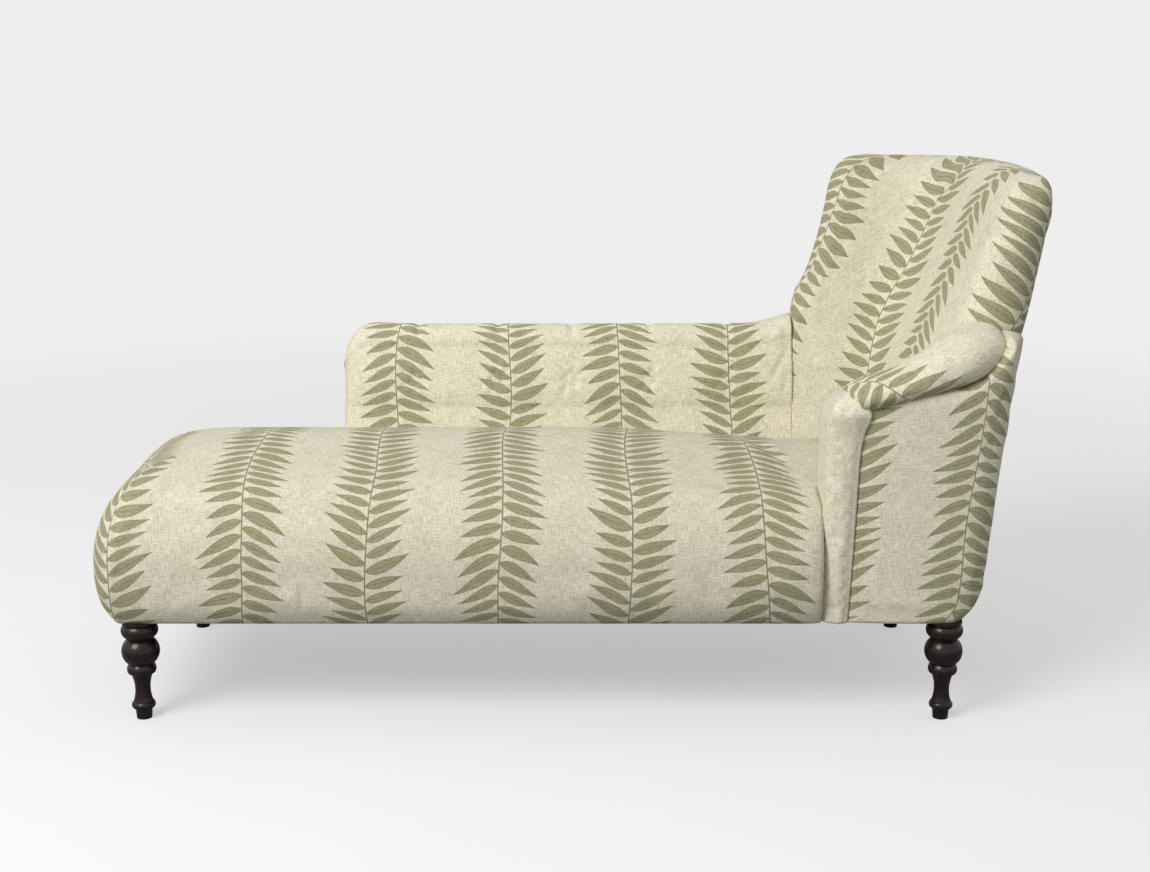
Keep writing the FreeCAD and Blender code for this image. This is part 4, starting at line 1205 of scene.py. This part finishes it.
@dataclass
class SidePanel(Upholstery):
    """The arm's outer cover, from the band's seam round the front corner to the head back."""

    node: str = "arm_side_panel"
    piece_name: str = "arm_side_pad"
    first_stem: float = 0.054
    stuffing: Stuffing = Stuffing(cap=0.003)
    # Height, seam edge, outer side in front, outer side behind and front face
    levels: tuple[tuple[float, ...], ...] = (
        (0.1815, 0.4705, 0.6750, 0.676, -0.3720),
        (0.2050, 0.4715, 0.6940, 0.695, -0.3735),
        (0.2400, 0.4730, 0.7070, 0.709, -0.3745),
        (0.3300, 0.4765, 0.7170, 0.721, -0.3760),
        (0.4360, 0.4805, 0.7270, 0.735, -0.3750),
        (0.5400, 0.4845, 0.7380, 0.751, -0.3735),
        (0.6000, 0.4870, 0.7430, 0.764, -0.3725),
        (0.6600, 0.4890, 0.7455, 0.772, -0.3650),
        (0.6850, 0.4900, 0.7440, 0.770, -0.3480),
        (0.7050, 0.4900, 0.7430, 0.768, -0.3230),
    )

    def build(self) -> bpy.types.Object:
        """Builds the panel: slices that rise to the sloping crease under the roll.

        Every column rises from the hem to the crease above it, so a slice is level at the hem
        and slopes at the top. The lid closes inwards over it as a low dome. The cloth's u is
        the length round the slice from the rounded corner, and leans with the height.

        Returns:
            The new object.
        """
        share = np.linspace(0.0, 1.0, 70)
        plan_low = self._plan(np.full(len(share), 0.30))
        top_z = roll_floor_z(plan_low[0, :, 0]) + 0.006
        heights = WALL_FOOT_Z + (top_z[None] - WALL_FOOT_Z) * share[:, None]
        columns = plan_low.shape[1]
        fine = np.linspace(WALL_FOOT_Z, 0.7050, 170)
        plans = self._plan(fine)
        place = (heights - fine[0]) / (fine[1] - fine[0])
        low = np.clip(place.astype(int), 0, len(fine) - 2)
        part = np.clip(place - low, 0.0, 1.0)[..., None]
        across = np.arange(columns)[None]
        plan = plans[low, across] * (1 - part) + plans[low + 1, across] * part
        points = np.concatenate([plan, heights[..., None]], axis=-1)
        middle = points.mean(axis=1, keepdims=True)
        beyond = ease((points[-1, :, 0] - 0.680) / 0.030)
        spine = np.stack([np.clip(points[-1, :, 0], 0.500, 0.735), -0.300 + 0.034 * beyond,
                          top_z], axis=-1)[None]
        inward = np.array([0.93, 0.78, 0.55, 0.28, 0.0])[:, None, None]
        dome = np.array([0.3, 0.6, 0.82, 0.95, 1.0])[:, None]
        top = spine + (points[-1:] - spine) * inward
        top[..., 2] = top_z + (0.006 + 0.008 * beyond) * dome
        bottom = middle[:1] + (points[:1] - middle[:1]) * np.array([0.0, 0.9])[:, None, None]
        points = np.concatenate([bottom, points, top], axis=0)
        around = run_length(wrapped(points), 1)
        height = wrapped(points[..., 2])
        corner = 40
        lean = 0.0644
        u = around - around[:, corner:corner + 1] + self.first_stem + lean * height - 0.0335
        return grid_piece(self.piece_name, [(points, np.stack([u, height], axis=-1))])

    def _plan(self, z: Array) -> Array:
        """Level slices: seam, swelling front, rounded corner, side and rear."""
        table = np.array(self.levels)
        seam, side, behind, front = smooth_columns(table[:, 0], table[:, 1:], z).T
        tight = np.full_like(seam, 0.006)
        turn = np.full_like(seam, 0.036)
        quarter = np.linspace(0.0, math.pi / 2, 13)[None]
        t = np.linspace(0.0, 1.0, 30)[1:, None]
        t_side = np.linspace(0.0, 1.0, 18)[1:, None]
        edge = oval(spot(seam + tight, front + tight + 0.002), -tight, -tight, quarter[:, ::2])
        over = through(spot(seam + tight, front + 0.002), spot((seam + side) / 2, front - 0.004),
                       spot(side - turn, front), t)
        corner = oval(spot(side - turn, front + turn), turn, -turn, math.pi / 2 - quarter)[:, 1:]
        back = np.full_like(seam, ARM_BACK_Y - GAP)
        outer = line(spot(side, front + turn), spot(behind, back), t_side)
        rear = line(spot(behind, back), spot(seam, back), t)
        inner = line(spot(seam, back), spot(seam, front + tight + 0.002), t_side)[:, :-1]
        return np.concatenate([edge, over, corner, outer, rear, inner], axis=1)

    def pad(self, piece: bpy.types.Object) -> None:
        """Settles the panel, held at the hem, the seam and the rear."""
        at = coordinates(piece)
        held = 1.0 - ease((at[:, 2] - HEM_Z - 0.004) / 0.03)
        held = np.maximum(held, ease((at[:, 1] + 0.320) / 0.02))
        held = np.maximum(held, 1.0 - ease((at[:, 0] - 0.484) / 0.02))
        self.stuffing.settle(piece, held)


@dataclass
class ArmRoll(Upholstery):
    """The padded roll that climbs along the arm and flows into the head back's near end."""

    node: str = "arm_roll"
    piece_name: str = "arm_roll_pad"
    first_stem: float = 0.098
    bias: float = math.radians(40.0)
    stuffing: Stuffing = Stuffing(cap=0.003)
    # Middle of each section, its half depth and its half height
    stations: tuple[tuple[float, ...], ...] = (
        (0.4650, -0.3300, 0.5640, 0.0480, 0.0130),
        (0.4700, -0.3290, 0.5670, 0.0560, 0.0180),
        (0.4800, -0.3285, 0.5715, 0.0610, 0.0220),
        (0.5030, -0.3280, 0.5785, 0.0630, 0.0250),
        (0.5430, -0.3280, 0.5895, 0.0635, 0.0265),
        (0.5750, -0.3280, 0.6000, 0.0635, 0.0290),
        (0.6000, -0.3280, 0.6105, 0.0635, 0.0335),
        (0.6250, -0.3275, 0.6225, 0.0630, 0.0380),
        (0.6450, -0.3255, 0.6315, 0.0620, 0.0395),
        (0.6620, -0.3190, 0.6390, 0.0590, 0.0385),
        (0.6770, -0.3070, 0.6455, 0.0540, 0.0360),
        (0.6880, -0.2890, 0.6510, 0.0480, 0.0330),
        (0.6950, -0.2640, 0.6560, 0.0420, 0.0310),
        (0.6980, -0.2300, 0.6590, 0.0360, 0.0290),
    )

    def build(self) -> bpy.types.Object:
        """Builds the roll: sections square to a smooth line through its stations.

        A section is |x/a|^2.3 + |z/b|^2.3 = 1. It starts in a blunt nose and ends in a point
        inside the wall. The cloth is turned by the bias angle against the roll's line.

        Returns:
            The new object.
        """
        table = np.array(self.stations)
        knots = travelled(np.linalg.norm(np.diff(table[:, :3], axis=0), axis=1))
        at = np.linspace(0.0, knots[-1], 90)
        sections = smooth_columns(knots, table, at)
        centre, half_depth, half_height = sections[:, :3], sections[:, 3:4], sections[:, 4:5]
        tangent = np.gradient(centre, axis=0)
        tangent /= np.linalg.norm(tangent, axis=1, keepdims=True)
        side = np.cross(tangent, [0.0, 0.0, 1.0])
        side /= np.linalg.norm(side, axis=1, keepdims=True)
        up = np.cross(side, tangent)
        turn = np.radians(np.arange(-150.0, 210.0, 5.0))[None]
        power = 2 / 2.3
        across = half_depth * np.sign(np.cos(turn)) * np.abs(np.cos(turn)) ** power
        rise = half_height * np.sign(np.sin(turn)) * np.abs(np.sin(turn)) ** power
        points = (centre[:, None] + side[:, None] * across[..., None]
                  + up[:, None] * rise[..., None])
        nose = [centre[:1, None] + (points[:1] - centre[:1, None]) * share - tangent[0] * ahead
                for share, ahead in ((0.0, 0.004), (0.6, 0.003))]
        tail = np.broadcast_to(centre[-1:, None], points[-1:].shape)
        points = np.concatenate(nose + [points, tail], axis=0)
        around = run_length(wrapped(points), 1)
        top_column, front_column = 48, 30
        along = run_length(points[:, top_column:top_column + 1], 0)[:, 0]
        girth = around - around[:, front_column:front_column + 1]
        run = along[:, None] - self.first_stem
        cos, sin = math.cos(self.bias), math.sin(self.bias)
        cloth = np.stack([cos * run + sin * girth, cos * girth - sin * run], axis=-1)
        return grid_piece(self.piece_name, [(points, cloth)])

    def pad(self, piece: bpy.types.Object) -> None:
        """Settles the roll, held below and where it runs into its neighbours."""
        at = coordinates(piece)
        held = 1.0 - ease((at[:, 2] - roll_floor_z(at[:, 0]) - 0.004) / 0.015)
        held = np.maximum(held, ease((at[:, 0] - 0.665) / 0.03))
        held = np.maximum(held, 1.0 - ease((at[:, 0] - 0.476) / 0.02))
        self.stuffing.settle(piece, held)


@dataclass
class Studio:
    """The pale floor, the soft lights and the camera."""

    background: Colour = screen(238, 238, 238)
    camera_place: tuple[float, float, float] = (0.0, -3.152, 1.149)
    camera_pitch: float = 12.9
    lens: float = 36.0 * 1697.0 / 1150.0

    def build(self) -> None:
        """Sets the world, the floor, the lights, the camera and the colour view."""
        scene = bpy.context.scene
        scene.view_settings.view_transform = "Standard"
        self._world()
        self._floor()
        self._light("key", (-2.5, -3.0, 3.6), (0.0, 0.0, 0.40), 2.8, 196.0)
        camera = bpy.data.objects.new("camera", bpy.data.cameras.new("camera"))
        camera.data.sensor_width = 36.0
        camera.data.lens = self.lens
        camera.location = self.camera_place
        camera.rotation_euler = (math.pi / 2 - math.radians(self.camera_pitch), 0.0, 0.0)
        scene.collection.objects.link(camera)
        scene.camera = camera

    def _world(self) -> None:
        """A dim even sky that shows as the background to the camera and in reflections."""
        world = bpy.data.worlds.new("studio")
        bpy.context.scene.world = world
        world.use_nodes = True
        tree = world.node_tree
        back = tree.nodes["Background"]
        back.inputs[0].default_value = (1.0, 1.0, 1.0, 1.0)
        back.inputs[1].default_value = 0.50
        seen = tree.nodes.new("ShaderNodeBackground")
        seen.inputs[0].default_value = (*self.background, 1.0)
        path = tree.nodes.new("ShaderNodeLightPath")
        either = tree.nodes.new("ShaderNodeMath")
        either.operation = "MAXIMUM"
        tree.links.new(path.outputs["Is Camera Ray"], either.inputs[0])
        tree.links.new(path.outputs["Is Glossy Ray"], either.inputs[1])
        both = tree.nodes.new("ShaderNodeMixShader")
        tree.links.new(either.outputs[0], both.inputs[0])
        tree.links.new(back.outputs[0], both.inputs[1])
        tree.links.new(seen.outputs[0], both.inputs[2])
        tree.links.new(both.outputs[0], tree.nodes["World Output"].inputs[0])

    def _floor(self) -> None:
        """A wide pale floor: part matt, to keep the shadow, and part its own even tone."""
        reach = 40.0
        points = np.array([[[-reach, -reach, 0.0], [reach, -reach, 0.0]],
                           [[-reach, reach, 0.0], [reach, reach, 0.0]]])
        floor = grid_piece("floor", [(points, points[..., :2])], Wrap.OPEN)
        bench = NodeBench("pale_floor")
        place = bench.add("ShaderNodeTexCoord", None, None, "Object")
        mottle = bench.noise(place, 3.0, 2.0)
        seen = bench.mix(mottle, screen(244, 244, 244), screen(248, 248, 248))
        path = bench.add("ShaderNodeLightPath", None, None, "Is Camera Ray")
        matt = bench.mix(path, screen(148, 148, 147), seen)
        bench.surface(Base_Color=matt, Roughness=0.9 + mottle * 0.05, Specular_IOR_Level=0.0)
        glow = bench.add("ShaderNodeEmission", None, {"Color": self.background, "Strength": 1.0})
        x, y, _ = bench.parts(place)
        away = (x * x + y * y).power(0.5).step(1.3, 4.5)
        both = bench.add("ShaderNodeMixShader", None, {0: path * (away * 0.45 + 0.55), 2: glow})
        bench.tree.links.new(bench.shader.outputs[0], both.socket.node.inputs[1])
        bench.tree.links.new(both.socket, bench.tree.nodes["Material Output"].inputs[0])
        floor.data.materials.append(bench.material)

    def _light(self, name: str, place: tuple[float, ...], target: tuple[float, ...], size: float,
               power: float) -> None:
        """One large soft lamp aimed at a point.

        Args:
            name: The lamp's name.
            place: Where it hangs.
            target: The point that it faces.
            size: Diameter of its disc.
            power: Its power in watts.
        """
        lamp = bpy.data.lights.new(name, "AREA")
        lamp.shape = "DISK"
        lamp.size = size
        lamp.energy = power
        holder = bpy.data.objects.new(name, lamp)
        aim = np.array(target) - np.array(place)
        holder.location = place
        holder.rotation_euler = (math.atan2(math.hypot(aim[0], aim[1]), -aim[2]), 0.0,
                                 math.atan2(-aim[0], aim[1]))
        bpy.context.scene.collection.objects.link(holder)


def dress_inside(record: dict[str, Any], nodes: dict[str, bpy.types.Object]) -> None:
    """Gives each frame piece that stays its own finish, by its material slot.

    Args:
        record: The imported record.
        nodes: The frame's objects by name.
    """
    made = {slot: InnerFinish(stuff).make() for slot, stuff in INSIDE_SLOTS.items()}
    made["turned_leg_wood"] = Lacquer().make()
    for part in record["subparts"]:
        finish = made.get(part["material_slot"])
        if finish is None:
            continue
        piece = nodes[part["node"]]
        for holder in piece.material_slots:
            holder.material = finish
        LOG.info("%s: %s", part["node"], finish.name)


def main() -> None:
    """Builds the sub-assemblies in order, dresses them and sets the scene."""
    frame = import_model()
    Studio().build()
    printed = Linen("leafy_stem_linen").make()
    plain = Linen("plain_linen", Design.PLAIN).make()
    # The seat's linen is the printed linen darkened to 0.87: painted shade, for less light on the
    # seat than on the backs
    painted_shade_seat_linen = Linen("leafy_stem_linen_seat_painted_shade", tone=0.87).make()
    roll_linen = Linen("leafy_stem_linen_roll", last_column=0).make()
    foam = InnerFinish(Stuff.FOAM).make()
    back = LowBack()
    covers = ((Seat(), painted_shade_seat_linen), (back, printed), (HeadBack(), printed), (FrontBand(), plain),
              (SidePanel(), printed), (ArmRoll(), roll_linen))
    made = [(cover, cover.build(), finish) for cover, finish in covers]
    for cover, piece, _ in made:
        cover.pad(piece)
    pieces = {piece.name: piece for _, piece, _ in made}
    back.tuft(pieces[back.piece_name])
    buttons = Buttons()
    made.append((buttons, buttons.build(back), printed))
    for place in ("seat", "low_back", "head_back"):
        filling = Filling(f"{place}_foam", f"{place}_filling")
        made.append((filling, filling.build(pieces[f"{place}_pad"]), foam))
    for cover, piece, finish in made:
        cover.dress(piece, finish)
    dress_inside(frame["record"], frame["nodes"])


if __name__ == "__main__":
    main()
